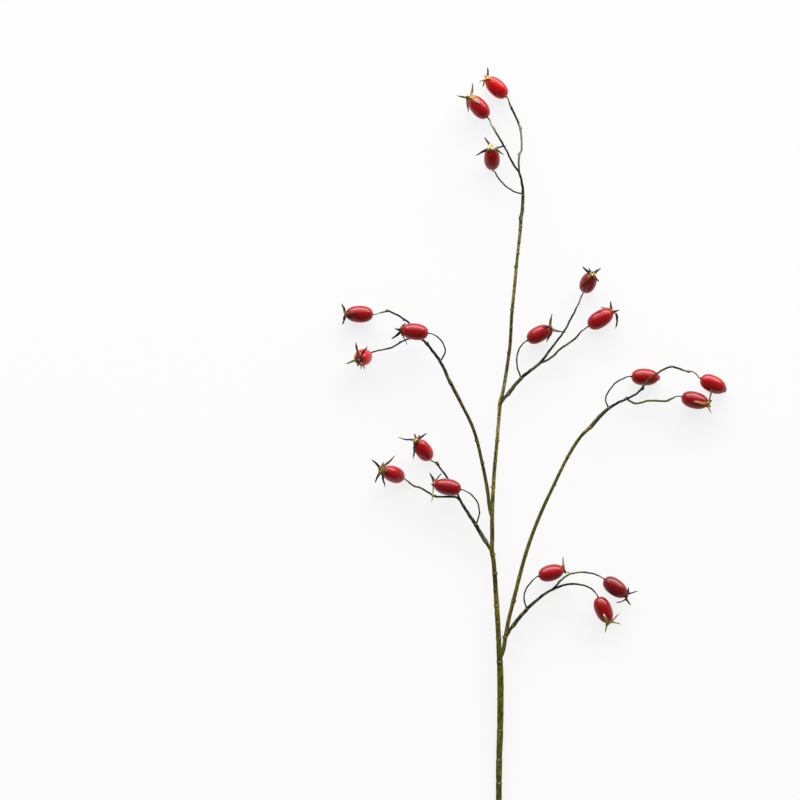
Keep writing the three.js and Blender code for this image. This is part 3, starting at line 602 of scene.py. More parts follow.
def skin(rings, **values):
    """A closed shell over rings of points, with a point in the middle of each end. Each value is
    one number for every point, or a row of three numbers. A ring's points can share it."""
    count, sides, _ = rings.shape
    points = np.vstack([rings.reshape(-1, 3), rings[0].mean(0), rings[-1].mean(0)])
    here = np.arange(sides)
    after = (here + 1) % sides
    faces = []
    for low in range(0, (count - 1) * sides, sides):
        high = low + sides
        faces += np.stack([low + here, low + after, high + after, high + here], 1).tolist()
    foot, last = count * sides, (count - 1) * sides
    faces += [(foot, int(b), int(a)) for a, b in zip(here, after)]
    faces += [(foot + 1, last + int(a), last + int(b)) for a, b in zip(here, after)]
    spread = {}
    for name, value in values.items():
        size = np.shape(value)[2:]
        full = np.broadcast_to(value, (count, sides, *size)).reshape(count * sides, *size)
        ends = [full[:sides].mean(0, keepdims=True), full[-sides:].mean(0, keepdims=True)]
        spread[name] = np.concatenate([full, *ends])
    return points, faces, spread


def above_floor(points):
    """Points with the lowest ones eased up, so that none is in the floor."""
    height = points[:, 2]
    ease = FLOOR_EASE - FLOOR_GAP
    eased = FLOOR_GAP + ease * np.exp(np.minimum(height - FLOOR_EASE, 0) / ease)
    return np.column_stack([points[:, :2], np.where(height < FLOOR_EASE, eased, height)])


def add_object(name, points, faces, material):
    """A mesh object in the scene, from points in the frame."""
    mesh = bpy.data.meshes.new(name)
    mesh.from_pydata(points, [], faces)
    mesh.materials.append(material)
    added = bpy.data.objects.new(name, mesh)
    bpy.context.scene.collection.objects.link(added)
    return added


def add_piece(node, shells, material):
    """One piece from shells in the drawing, which stands for a CAD node."""
    points, faces, start = [], [], 0
    for shell_points, shell_faces, _ in shells:
        points.append(shell_points)
        faces += [[start + corner for corner in face] for face in shell_faces]
        start += len(shell_points)
    placed_points = to_frame(above_floor(np.vstack(points))).tolist()
    piece = add_object(f"{node}_look", placed_points, faces, material)
    mesh = piece.data
    for name in shells[0][2]:
        values = np.concatenate([shell[2][name] for shell in shells])
        kind, field = ("FLOAT_VECTOR", "vector") if values.ndim == 2 else ("FLOAT", "value")
        attribute = mesh.attributes.new(name, kind, "POINT")
        attribute.data.foreach_set(field, values.astype(np.float32).ravel())
    mesh.polygons.foreach_set("use_smooth", [True] * len(mesh.polygons))
    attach(piece, "root")
    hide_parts(node)


# ---- the woody parts

BARK_WRAP = 3.0  # the radius at which the bark's pattern is laid round every stem
RIDGE_DEPTH = 0.06  # of the radius, for the shallow ridges along a stem
RIDGE_SIZE = 1.3
RIDGE_STRETCH = [1, 1, 0.1]
LUMP_DEPTH = 0.06  # and for its lumps, which are twice as deep on a stalk
LUMP_SIZE = 2.2
LUMP_STRETCH = [0.5, 0.5, 1]
BARK_SHIFT = 40  # how far each seed moves the bark's pattern along
STEM_STEP = 0.45  # from one ring of a stem to the next
STALK_STEP = 0.35  # and of a stalk or a pedicel

BUD_HEIGHT = 0.75
BUD_LENGTH = 1.1
BUD_BACK = 1.2  # how gently a bud rises, as a share of its length
BUD_FRONT = 0.55  # and how soon it ends
BUD_TURN = 0.42  # how far it reaches round the stem, in radians

JOINT_WIDTH = (0.45, 0.225)  # its least, and how much more for each millimetre of radius
SOCKET_PINCH = 0.2
SOCKET_LENGTH = 1.4

# What a joint does to the bark: what changes, by how much, how far above the joint, and over
# what length. The last two are shares of the joint's width.

# The "pale" marks are partly a painted highlight on a joint's swelling, and the "groove" marks are
# painted shade in its creases.
RING_MARKS = [
    ("swell", 0.2, 0, 1), ("swell", -0.07, 1.9, 0.6), ("pale", 1, -0.1, 0.6),
    ("groove", 1, 1.5, 0.6), ("groove", 0.7, -1.6, 0.5),
]
SOCKET_MARKS = [("swell", 0.1, -0.7, 0.6), ("pale", 1, -0.5, 0.5), ("groove", 1, 0.5, 0.5)]

WOBBLE = 0.35  # how far a stalk strays from its smooth route
WOBBLE_SIZE = 4.0
WOBBLE_FROM = (1, 5)  # how far from a stalk's ends it starts
THIN_RADIUS = 0.48  # of a stalk just before its hip
THIN_REACH = (5.0, 16.0)  # how far from the hip it thickens again
THICKER = 2  # how much more its radius may be beyond that
KNUCKLE_RADIUS = 0.85
KNUCKLE_LENGTH = 1.5
PLUG_DEPTH = 0.6  # how far a stalk reaches into its hip

MOTTLE_DEPTH = 2.4
MOTTLE_SIZE = 2.2
MOTTLE_DARKEST = 0.3  # of the stem's own colour
MOTTLE_FROM = (290.0, 330.0)  # how far up the sprig the fine mottling starts
PATCH_SIZE = 6.0  # how far apart the paler patches of a stalk are
PATCH_SHARE = 0.6  # how pale they are
PATCH_EDGE = 0.45  # the noise at which a patch is at its palest

CUT_RINGS = [(0.12, 0.02), (0.35, -0.08), (0.62, -0.12), (0.84, -0.02), (0.95, 0.1), (0.985, 0.02)]
CUT_RIM = 0.97  # the share of the radius from which the cut wood turns to bark


def nearest(points, x, y):
    return int(np.argmin(np.hypot(points[:, 0] - x, points[:, 1] - y)))


def joint_profile(points, reached, radii, joints):
    """How a stem's radius, its pale lips, partly a painted highlight, and its dark grooves of
    painted shade go, along its length.
    """
    profile = {"swell": np.ones(len(points))}
    profile["pale"], profile["groove"] = np.zeros((2, len(points)))
    for x, y, strength, *opening in joints:
        place = nearest(points, x, y)
        width = JOINT_WIDTH[0] + JOINT_WIDTH[1] * radii[place]
        ahead = reached - reached[place]
        if opening:
            ahead = ahead * opening[0]
            inside = np.where(ahead > 0, np.exp(-ahead / SOCKET_LENGTH), 0)
            profile["swell"] -= SOCKET_PINCH * strength * inside
        for what, amount, offset, reach in SOCKET_MARKS if opening else RING_MARKS:
            mark = amount * strength * hump(ahead - offset * width, reach * width)
            if what == "swell":
                profile[what] += mark
            else:
                profile[what] = np.maximum(profile[what], mark)
    return profile["swell"], np.clip(profile["pale"], 0, 1), np.clip(profile["groove"], 0, 1)


def bud_relief(points, reached, angles, buds):
    """How far each point of a stem's bark stands out for its bud scales, which lean forward."""
    relief = np.zeros((len(points), len(angles)))
    for x, y, side, size in buds:
        ahead = (reached - reached[nearest(points, x, y)]) / (BUD_LENGTH * size)
        round_it = (angles - math.radians(side) + math.pi) % (2 * math.pi) - math.pi
        length = hump(ahead, np.where(ahead < 0, BUD_BACK, BUD_FRONT))
        relief += BUD_HEIGHT * size * length[:, None] * hump(round_it, BUD_TURN)[None, :]
    return relief


def stem_tint(points, bark, bands, seed):
    """A stem's colours, from how far up the sprig each point is, and with the fine mottling of
    its upper part."""
    depth = MOTTLE_DEPTH * smooth_step(points[:, 1], *MOTTLE_FROM)[:, None]
    mottle = np.maximum(1 + depth * grain(bark, MOTTLE_SIZE, seed + 5), MOTTLE_DARKEST)
    return banded(points[:, 1], bands)[:, None] * mottle[..., None]


def stalk_tint(reached, bands, seed):
    """A stalk's colours, from its bands and from the paler patches along it."""
    tint = banded(reached / reached[-1], bands)
    patch = smooth_step(grain_along(reached, PATCH_SIZE, seed + 11), 0.0, PATCH_EDGE)
    share = (PATCH_SHARE * patch)[:, None]
    return (tint * (1 - share) + np.maximum(tint, linear(PATCH_TONE)) * share)[:, None]


def thinned(points, reached, radii, seed):
    """A stalk's points and radii, when it strays a little from its route, and is thin before
    its hip with a knuckle against it."""
    left_over = reached[-1] - reached
    thick = smooth_step(left_over, *THIN_REACH)
    knuckle = smooth_step(left_over, KNUCKLE_LENGTH, 0)
    radii = np.minimum(radii, THIN_RADIUS + THICKER * thick)
    radii = radii + (KNUCKLE_RADIUS - THIN_RADIUS) * knuckle
    free = smooth_step(reached, *WOBBLE_FROM) * smooth_step(left_over, *WOBBLE_FROM)
    _, left, top = level_frames(points)
    aside = WOBBLE * free * grain_along(reached, WOBBLE_SIZE, seed + 21)
    lift = WOBBLE * free * grain_along(reached, WOBBLE_SIZE, seed + 31)
    return points + left * aside[:, None] + top * lift[:, None], radii


def stem_shell(name, route, sides, step, seed, bands, is_stalk=False, cut_end=False):
    """The bark of one stem along its route, closed at both ends."""
    points, reached, radii = smooth_route(route, step)
    if is_stalk:
        points, radii = thinned(points, reached, radii, seed)
    swell, pale, groove = joint_profile(points, reached, radii, JOINTS.get(name, []))
    along, left, top = level_frames(points)
    angles, turn = turns(sides)

    bark = np.empty((len(points), sides, 3))
    bark[..., :2] = turn * BARK_WRAP
    bark[..., 2] = reached[:, None]
    ridges = grain(bark * RIDGE_STRETCH, RIDGE_SIZE, seed)
    lumps = grain(bark * LUMP_STRETCH, LUMP_SIZE, seed + 3)
    depth = 1 + RIDGE_DEPTH * ridges + LUMP_DEPTH * (1 + is_stalk) * lumps
    radius = radii[:, None] * swell[:, None] * depth
    radius += bud_relief(points, reached, angles, BUDS.get(name, []))
    rings = tube(points, left, top, turn, radius)

    tint = stalk_tint(reached, bands, seed) if is_stalk else stem_tint(points, bark, bands, seed)
    bark[..., 2] += BARK_SHIFT * seed
    values = {"bark": bark, "tint": tint, "pale": pale[:, None], "groove": groove[:, None]}
    values["cut"] = np.zeros((len(points), 1))
    if cut_end:
        rings, values = add_cut_face(rings, values, along[0])
    return skin(rings, **values)


def add_cut_face(rings, values, along):
    """Adds the flat face of a cut stem in front of its first ring: shares of its radius, and how
    far each stands back from the end."""
    middle = rings[0].mean(0)
    face = [middle + (rings[0] - middle) * share - along * back for share, back in CUT_RINGS]
    for name, value in values.items():
        values[name] = np.concatenate([value[:1]] * len(face) + [value])
    for number, (share, _) in enumerate(CUT_RINGS):
        values["cut"][number] = 1 if share < CUT_RIM else 0.5
        values["bark"][number, :, :2] *= share
    return np.concatenate([np.stack(face), rings]), values


def route_to_hip(route, hip):
    """A stem that ends at its hip, just inside the dimple of the hip's stalk end."""
    before = hip.base - hip.along * KNUCKLE_LENGTH
    last = hip.base + hip.along * PLUG_DEPTH
    thin = route[-1][3]
    return [*route, (*before, thin), (*last, thin)]


# ---- hips

HIP_SIDES = 64
HIP_RINGS = 56
HIP_POLE = 0.03  # how near the ends the first and last rings are, in radians
HIP_LUMPS = 0.004  # of the radius
HIP_STRETCH = 1.6  # of the pattern of its skin, along the hip
DIMPLE_DEPTH = 0.5
DIMPLE_WIDTH = 1.9
NECK_HEIGHT = 0.1
NECK_WIDTH = 1.7
PUCKER_DEPTH = 0.06  # of the radius, for the five folds at the calyx
PUCKER_REACH = 0.16


def hip_radius(place, width):
    """The radius of a hip at a place on its axis, from -1 at the stalk to 1 at the calyx."""
    rounding = np.sqrt(np.clip(1 - np.abs(place) ** HIP_FULLNESS, 0, None))
    return width / 2 * rounding * (1 - HIP_TAPER * place)


class HipFrame:
    """A hip's middle, ends and directions in the drawing, around its CAD node."""

    def __init__(self, node, heading, pitch, size, stand):
        low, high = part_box(node)
        turn, rise = math.radians(heading), math.radians(pitch)
        level = math.cos(rise)
        self.along = np.array([level * math.cos(turn), level * math.sin(turn), math.sin(rise)])
        self.left = np.array([-math.sin(turn), math.cos(turn), 0])
        self.top = np.cross(self.along, self.left)
        self.middle = (np.array((low + high) / 2) - ORIGIN) / MM
        self.half = HIP_LENGTH / 2 * size
        self.width = HIP_WIDTH * size
        self.base = self.middle - self.along * self.half
        self.tip = self.middle + self.along * self.half
        self.stand = stand
        self.calyx = self.tip + self.along * stand


def placed(hip, across, height, turn):
    """Points at distances from a hip's axis, heights along it and (cosine, sine) round it."""
    aside = hip.left * (across * turn[..., 0])[..., None]
    lift = hip.top * (across * turn[..., 1])[..., None]
    return aside + lift + hip.along * height[..., None]


def hip_shell(hip, bright, seed):
    """The smooth skin of a hip: a full oval, a little uneven, with a dimple round its stalk and
    a short neck under its calyx."""
    places = -np.cos(np.linspace(HIP_POLE, math.pi - HIP_POLE, HIP_RINGS))
    angles, turn = turns(HIP_SIDES)
    sphere = np.empty((HIP_RINGS, HIP_SIDES, 3))
    sphere[..., :2] = turn * np.sqrt(1 - places**2)[:, None, None]
    sphere[..., 2] = HIP_STRETCH * places[:, None]

    lumps = HIP_LUMPS * grain(sphere, 1.0, seed)
    folds = PUCKER_DEPTH * np.cos(5 * angles + seed)
    pucker = hump(1 - places, PUCKER_REACH)[:, None] * folds
    radius = hip_radius(places, hip.width)[:, None] * (1 + lumps + pucker)
    dimple = DIMPLE_DEPTH * hump(radius, DIMPLE_WIDTH)
    neck = NECK_HEIGHT * hump(radius, NECK_WIDTH)
    height = places[:, None] * hip.half + np.where(places[:, None] < 0, dimple, neck)
    rings = hip.middle + placed(hip, radius, height, turn)
    return skin(rings, skin_at=sphere + seed, place=places[:, None], bright=bright)


# ---- calyxes

CUP_SIDES = 40
CUP_PROFILE = [  # radius, height over the hip's end, and which colour: 0 hole, 1 rim, 2 disc
    (1.1, -0.9, 1), (1.75, -0.5, 1), (2.1, -0.2, 1), (2.25, 0.05, 1), (2.2, 0.28, 1),
    (1.95, 0.38, 1), (1.65, 0.34, 1), (1.4, 0.2, 0.5), (1.22, 0, 0), (1.02, -0.1, 0),
    (0.86, 0, 0.6), (0.72, 0.2, 2), (0.45, 0.3, 2), (0.2, 0.34, 2),
]
CUP_FOOT = 2  # how many of its rings stay at the hip's end where the cup is longer
CUP_LOBES = 0.07  # of the radius, for the rim's five lobes
CUP_GRAIN = (0.06, 0.7)  # how uneven its radius is, as a share, and over what length
CUP_WAVES = (0.1, 0.5)  # how uneven its height is, and over what length
LOBES_FROM = (1.3, 1.9)  # the radii between which the lobes and the spots start
# the hollow between the rim and the disc is painted near black, as its shade
HOLLOW_SHADE_TONE = (24, 16, 10)
CUP_SPOTS = 0.75  # how dark the five spots on the rim are
SPOT_WIDTH = 1.5  # the more, the wider they are
SPOTS_FROM = (0.2, 0.45)  # the heights between which they start

STAMENS = 12
NUB_SIZE = 0.5  # a cup as small as this has none
STAMEN_RING = 1.08  # how far from the axis they stand
STAMEN_LEAN = (25, 30)  # degrees, and how far that varies
STAMEN_SPREAD = 25  # degrees that one can be out of its place round the ring
STAMEN_LENGTH = (0.75, 0.5)  # and the share by which it varies
STAMEN_SIDES = 6
STAMEN_PROFILE = [  # share of the length, and the radius there
    (0, 0.1), (0.35, 0.08), (0.7, 0.08), (0.88, 0.19), (0.96, 0.19), (1, 0.08),
]
STAMEN_TONE = (52, 34, 20)

SEPAL_STEPS = 26
SEPAL_SIDES = 14
SEPAL_CLASP = (0.5, 0.9)  # where a sepal starts: over the hip's end, and away from its axis
SEPAL_SHOULDER = (-0.1, 2.7)  # the point that it bends towards
SEPAL_SHAPES = {  # share of the length, and the half width there
    "pointed": [
        (0, 1.5), (0.08, 1.75), (0.2, 1.4), (0.4, 1.05), (0.65, 0.82), (0.88, 0.52), (1, 0.12),
    ],
    "broad": [
        (0, 1.5), (0.08, 1.8), (0.2, 1.5), (0.4, 1.18), (0.65, 0.94), (0.88, 0.62), (1, 0.14),
    ],
    "blunt": [(0, 1.4), (0.15, 1.75), (0.5, 1.75), (0.78, 1.5), (0.93, 1), (1, 0.4)],
    "strap": [(0, 1.3), (0.15, 1.4), (0.5, 1.15), (0.78, 1.05), (0.93, 0.8), (1, 0.4)],
    "wisp": [(0, 1.2), (0.1, 1.25), (0.24, 0.75), (0.6, 0.54), (0.88, 0.38), (1, 0.1)],
    "thread": [(0, 1.3), (0.1, 1.45), (0.24, 0.95), (0.6, 0.66), (0.88, 0.46), (1, 0.12)],
}
SEPAL_WANDER = (0.09, 4.0)  # how far a sepal strays sideways, as a share, and over what length
SEPAL_LIFT = (0.06, 4.5)  # and how far inwards or outwards
SEPAL_THICKNESS = 0.6
SEPAL_FOLD = 0.25
SEPAL_RAGGED = (0.35, 1.1)  # how uneven a margin is, as a share of the half width, and its grain
SEPAL_CRINKLE = (0.1, 1.6)  # how far a margin waves up and down, and its grain
MARGINS_APART = 5  # in the noise, so that a sepal's two margins differ
MARGIN_THINNING = 0.6  # of the thickness
FULL_LENGTH = 9  # a sepal that is shorter is narrower too
SEPAL_ROLL = 0.85  # how far a sepal that is seen on its edge rolls to show a face, as a share
SEPAL_ROLLED = (0.02, 0.45)  # the shares of its length between which it starts to
SEPAL_TONES = (0.22, 0.68, 0.96)  # where its colours are: the first counts from its base's end
SPINE_CLEARANCE = 0.45  # over the hip's skin, for the middle of a sepal that lies on it
SKIN_CLEARANCE = 0.08  # and for its surface
BRANCH_AT = 0.45  # where a side branch leaves its sepal
BRANCH_LENGTH = 0.5
BRANCH_CURL = 0.3
BRANCH_BASE = 0.1  # the share of it that has its sepal's first colour
SEPAL_SEEDS = 1.7  # from one sepal to the next


def sepal_direction(hip, turn, spread):
    """A direction at a spread from the hip's axis, towards an angle round it."""
    turn, spread = math.radians(turn), math.radians(spread)
    across = math.sin(spread)
    aside = hip.left * across * math.cos(turn)
    return hip.along * math.cos(spread) + aside + hip.top * across * math.sin(turn)


def clear_of_hip(hip, points, clearance):
    """Points moved straight out of a hip where they would be in its skin or under it."""
    offsets = points - hip.middle
    heights = offsets @ hip.along
    outward = offsets - heights[..., None] * hip.along
    distances = np.linalg.norm(outward, axis=-1)
    wanted = hip_radius(np.clip(heights / hip.half, -1, 1), hip.width) + clearance
    wanted = np.where(np.abs(heights) < hip.half, wanted, 0)
    push = np.maximum(wanted - distances, 0)
    return points + outward * (push / np.maximum(distances, 1e-6))[..., None]


def sepal_spine(hip, turn, spread, length, bow, seed):
    """The middle line of a sepal, which clasps the hip's end before it bends away."""
    outwards = sepal_direction(hip, turn, 90)
    start, shoulder, root = (
        hip.calyx + hip.along * ahead + outwards * aside
        for ahead, aside in (SEPAL_CLASP, SEPAL_SHOULDER, (CALYX_RISE, SEPAL_ROOT))
    )
    end = root + sepal_direction(hip, turn, spread) * length
    share = np.linspace(0, 1, SEPAL_STEPS)[:, None]
    spine = bent(start, shoulder, end, share)
    sideways = np.cross(hip.along, outwards)
    reach = share**1.3 * length
    wander = grain_along(share[:, 0] * length, SEPAL_WANDER[1], seed)[:, None]
    lift = grain_along(share[:, 0] * length, SEPAL_LIFT[1], seed + 7)[:, None]
    spine = spine + sideways * wander * reach * SEPAL_WANDER[0]
    arch = 4 * bow * share * (1 - share)
    return spine + sepal_direction(hip, turn, spread - 90) * (lift * reach * SEPAL_LIFT[0] + arch)


def rolled(along, sideways, share):
    """The directions across a leaf and out of its inner face, rolled about its middle line so
    that a leaf on its edge shows a face from above."""
    inner = unit(np.cross(along, sideways))
    across = np.cross(inner, along)
    off_level = np.arctan2(across @ UP, inner @ UP)
    off_level = (off_level + math.pi / 2) % math.pi - math.pi / 2
    roll = SEPAL_ROLL * off_level * smooth_step(share, *SEPAL_ROLLED)
    cosine, sine = np.cos(roll)[:, None], np.sin(roll)[:, None]
    return across * cosine - inner * sine, inner * cosine + across * sine


def leaf_shell(hip, spine, sideways, look, base, length, seed):
    """A narrow leaf along a middle line: folded along its midrib and uneven at its margins. Its
    base is a colour and the share of the leaf that has it."""
    shape, *tones = SEPAL_LOOKS[look]
    base_tone, base_share = base
    spine = clear_of_hip(hip, spine, SPINE_CLEARANCE)
    share = np.linspace(0, 1, len(spine))
    across, inner = rolled(unit(np.gradient(spine, axis=0)), sideways, share)

    shares, widths = zip(*SEPAL_SHAPES[shape])
    wide = (np.interp(share, shares, widths) * min(1, 0.5 + length / FULL_LENGTH / 2))[:, None]
    _, turn = turns(SEPAL_SIDES)
    side, face = turn.T
    margin = np.zeros((len(spine), SEPAL_SIDES, 3))
    margin[..., 0] = share[:, None] * length
    margin[..., 1] = np.sign(side) * MARGINS_APART
    (ragged, ragged_size), (crinkled, crinkle_size) = SEPAL_RAGGED, SEPAL_CRINKLE
    x = wide * side * (1 + ragged * grain(margin, ragged_size, seed) * np.abs(side) ** 3)
    thickness = SEPAL_THICKNESS * (0.4 + 0.6 * wide / max(widths))
    crinkle = crinkled * grain(margin, crinkle_size, seed + 20) * np.abs(side)
    y = thickness * face * (1 - MARGIN_THINNING * side**2)
    y = y + SEPAL_FOLD * np.abs(x) ** 1.2 + crinkle
    rings = spine[:, None] + across[:, None] * x[..., None] + inner[:, None] * y[..., None]
    first, *others = SEPAL_TONES
    places = (base_share, base_share + first, *others)
    tint = between(share, places, [base_tone, *tones])[:, None]
    return skin(clear_of_hip(hip, rings, SKIN_CLEARANCE), tint=tint, edge=np.abs(side))


def sepal_shells(hip, sepal, base, seed):
    """A sepal, and its side branch if it has one."""
    turn, spread, length, look, branch, bow = (*sepal, 0, 0)[:6]
    sideways = np.cross(hip.along, sepal_direction(hip, turn, 90))
    spine = sepal_spine(hip, turn, spread, length, bow, seed)
    shells = [leaf_shell(hip, spine, sideways, look, base, length, seed)]
    if branch:
        root = round(BRANCH_AT * SEPAL_STEPS)
        along = unit(spine[root + 1] - spine[root])
        bend = math.radians(branch)
        heading = along * math.cos(bend) + sideways * math.sin(bend)
        share = np.linspace(0, 1, SEPAL_STEPS // 2)[:, None]
        reach = BRANCH_LENGTH * length
        side_spine = spine[root] + heading * reach * share + along * reach * BRANCH_CURL * share**2
        across = np.cross(heading, unit(np.cross(along, sideways)))
        branch_base = (SEPAL_LOOKS[look][1], BRANCH_BASE)
        shells.append(leaf_shell(hip, side_spine, -across, look, branch_base, reach, seed + 3))
    return shells


def cup_shell(hip, look, seed):
    """The cup at the end of a hip, with a spotted rim, a hollow painted dark as its shade, and a
    disc in its middle.
    """
    size, rim, disc, _ = CUP_LOOKS[look]
    radii, heights, tones = (column[:, None] for column in np.array(CUP_PROFILE).T)
    angles, turn = turns(CUP_SIDES)
    fives = np.cos(5 * angles + seed)
    outer = smooth_step(radii, *LOBES_FROM)
    place = np.empty((len(radii), CUP_SIDES, 3))
    place[..., :2] = radii[..., None] * turn
    place[..., 2] = heights
    (uneven, uneven_size), (waves, wave_size) = CUP_GRAIN, CUP_WAVES
    across = size * radii * (1 + CUP_LOBES * fives * outer)
    across = across * (1 + uneven * grain(place, uneven_size, seed))
    height = size * heights + waves * grain(place, wave_size, seed + 2)
    height[CUP_FOOT:] += hip.stand
    rings = hip.tip + placed(hip, across, height, turn)
    # the hollow is painted near black, as its shade
    tint = between(tones, (0, 1, 2), (HOLLOW_SHADE_TONE, rim, disc))
    spots = np.clip(fives * SPOT_WIDTH, 0, 1) * outer
    tint = tint * (1 - CUP_SPOTS * spots * smooth_step(heights, *SPOTS_FROM))[..., None]
    return skin(rings, tint=tint, edge=0.5)


def stamen_shell(hip, number, seed):
    """One dried stamen stub that leans out of the cup, with a small knob at its end."""
    jitter = grain(np.array([[number * 2.7, i * 7.5, 0.5] for i in range(3)]), 1.0, seed)
    angle = 360 * number / STAMENS + STAMEN_SPREAD * jitter[0]
    half = STAMEN_LENGTH[0] * (1 + STAMEN_LENGTH[1] * jitter[1]) / 2
    lean = STAMEN_LEAN[0] + STAMEN_LEAN[1] * jitter[2]
    start = hip.calyx + sepal_direction(hip, angle, 90) * STAMEN_RING
    middle = start + sepal_direction(hip, angle, lean * 0.5) * half
    end = middle + sepal_direction(hip, angle, lean * 1.6) * half
    share, radii = (column[:, None] for column in np.array(STAMEN_PROFILE).T)
    spine = bent(start, middle, end, share)
    _, left, top = level_frames(spine)
    _, turn = turns(STAMEN_SIDES)
    rings = tube(spine, left, top, turn, radii)
    return skin(rings, tint=linear([[STAMEN_TONE]]), edge=0.5)


def calyx_shells(hip, look, sepals, seed):
    """All the shells of one calyx: its cup, its sepals, and its stamens if it is open."""
    size, rim, _, reach = CUP_LOOKS[look]
    shells = [cup_shell(hip, look, seed)]
    for number, sepal in enumerate(sepals):
        shells += sepal_shells(hip, sepal, (rim, reach), seed + SEPAL_SEEDS * number)
    if size > NUB_SIZE:
        shells += [stamen_shell(hip, number, seed) for number in range(STAMENS)]
    return shells


# ---- materials

# A pattern is noise: how far it is stretched, its scale, its detail and its roughness. The lower
# the last number of the stretch, the further it is drawn out along a stem. The noise of the hips
# and calyxes isn't stretched, and dots have a scale and a size.

STREAK_PATTERN = ((1, 1, 0.22), 0.8, 4, 0.6)
PATCH_PATTERN = ((0.5, 0.5, 0.25), 0.6, 2)
GRAIN_PATTERN = ((1, 1, 0.5), 2.2, 3, 0.7)
LIP_PATTERN = ((1, 1, 1), 1.1, 2)
BLOTCH_NOISE = (1.5, 3)
HIP_GRAIN_NOISE = (22, 2)
HIP_SPECK_DOTS = (9, 0.2)
DOT_CORE = 0.4  # the share of a dot's size at which it is full
CALYX_MOTTLE_NOISE = (0.7 / MM, 3)
CALYX_GRAIN_NOISE = (2.4 / MM, 3, 0.6)

# A layer is a tone, the values of a pattern between which it comes or goes, and the share of it
# at each. The shares of the streaks and of the light flecks, which are partly painted glints,
# differ from one kind of bark to another.

STREAKS = ((28, 22, 10), 0.36, 0.56)
# light flecks on the bark: partly its own paler mottling, partly painted glints
FLECKS_AND_PAINTED_GLINTS = ((164, 150, 84), 0.52, 0.7)
SPECKLES = ((150, 140, 90), 0.56, 0.74, 0, 0.3)
HIP_BLOTCHES = ((96, 3, 11), 0.42, 0.66, 0, 0.2)
HIP_END = ((92, 10, 14), 0.75, 1, 0, 0.4)
MIDRIB = ((200, 176, 110), 0, 0.3, 0.14, 0)
MARGIN = ((58, 40, 22), 0.7, 1, 0, 0.3)
DRY_SPOTS = ((24, 18, 12), 0.58, 0.76, 0, 0.4)

# pale lips at the joints: the stem's paler rings, partly a painted highlight on their swelling
LIP_AND_HIGHLIGHT_TONE, LIP_SHARE = (184, 174, 118), 0.8
# the dark grooves beside the joints: painted shade in their creases
GROOVE_SHADE_TONE, GROOVE_SHARE = (34, 28, 12), 0.75
HIP_SPECK_TONE, HIP_SPECK_SHARE = (214, 70, 60), 0.14
WOOD_TONES = ((206, 192, 150), (168, 150, 108))
RIPE_TONES = ((116, 4, 13), (200, 9, 14))  # of the least and the most bright hip

# The values of a pattern between which something changes, and what it changes from and to,
# which is 0 and 1 where it isn't said.

BARK_SHADES = (0.3, 0.7, 0.72, 1.28)
CALYX_SHADES = (0.35, 0.65, 0.6, 1.25)
LIP_SPOTS = (0.42, 0.56)
WOOD_GRAIN = (0.4, 0.7)
BARK_ROUGHNESS = (0.3, 0.7, 0.42, 0.62)
HIP_ROUGHNESS = (0.3, 0.7, 0.19, 0.25)
CALYX_ROUGHNESS = (0.3, 0.7, 0.45, 0.65)

STREAK_DEPTH = 0.16  # of the bumps, in millimetres
BARK_GRAIN_DEPTH = 0.06
HIP_GRAIN_DEPTH = 0.006
CALYX_GRAIN_DEPTH = 0.08
HIP_IOR = 1.42
CALYX_GLOSS = 0.1


def rgb(tone):
    return (*linear(tone).tolist(), 1.0)


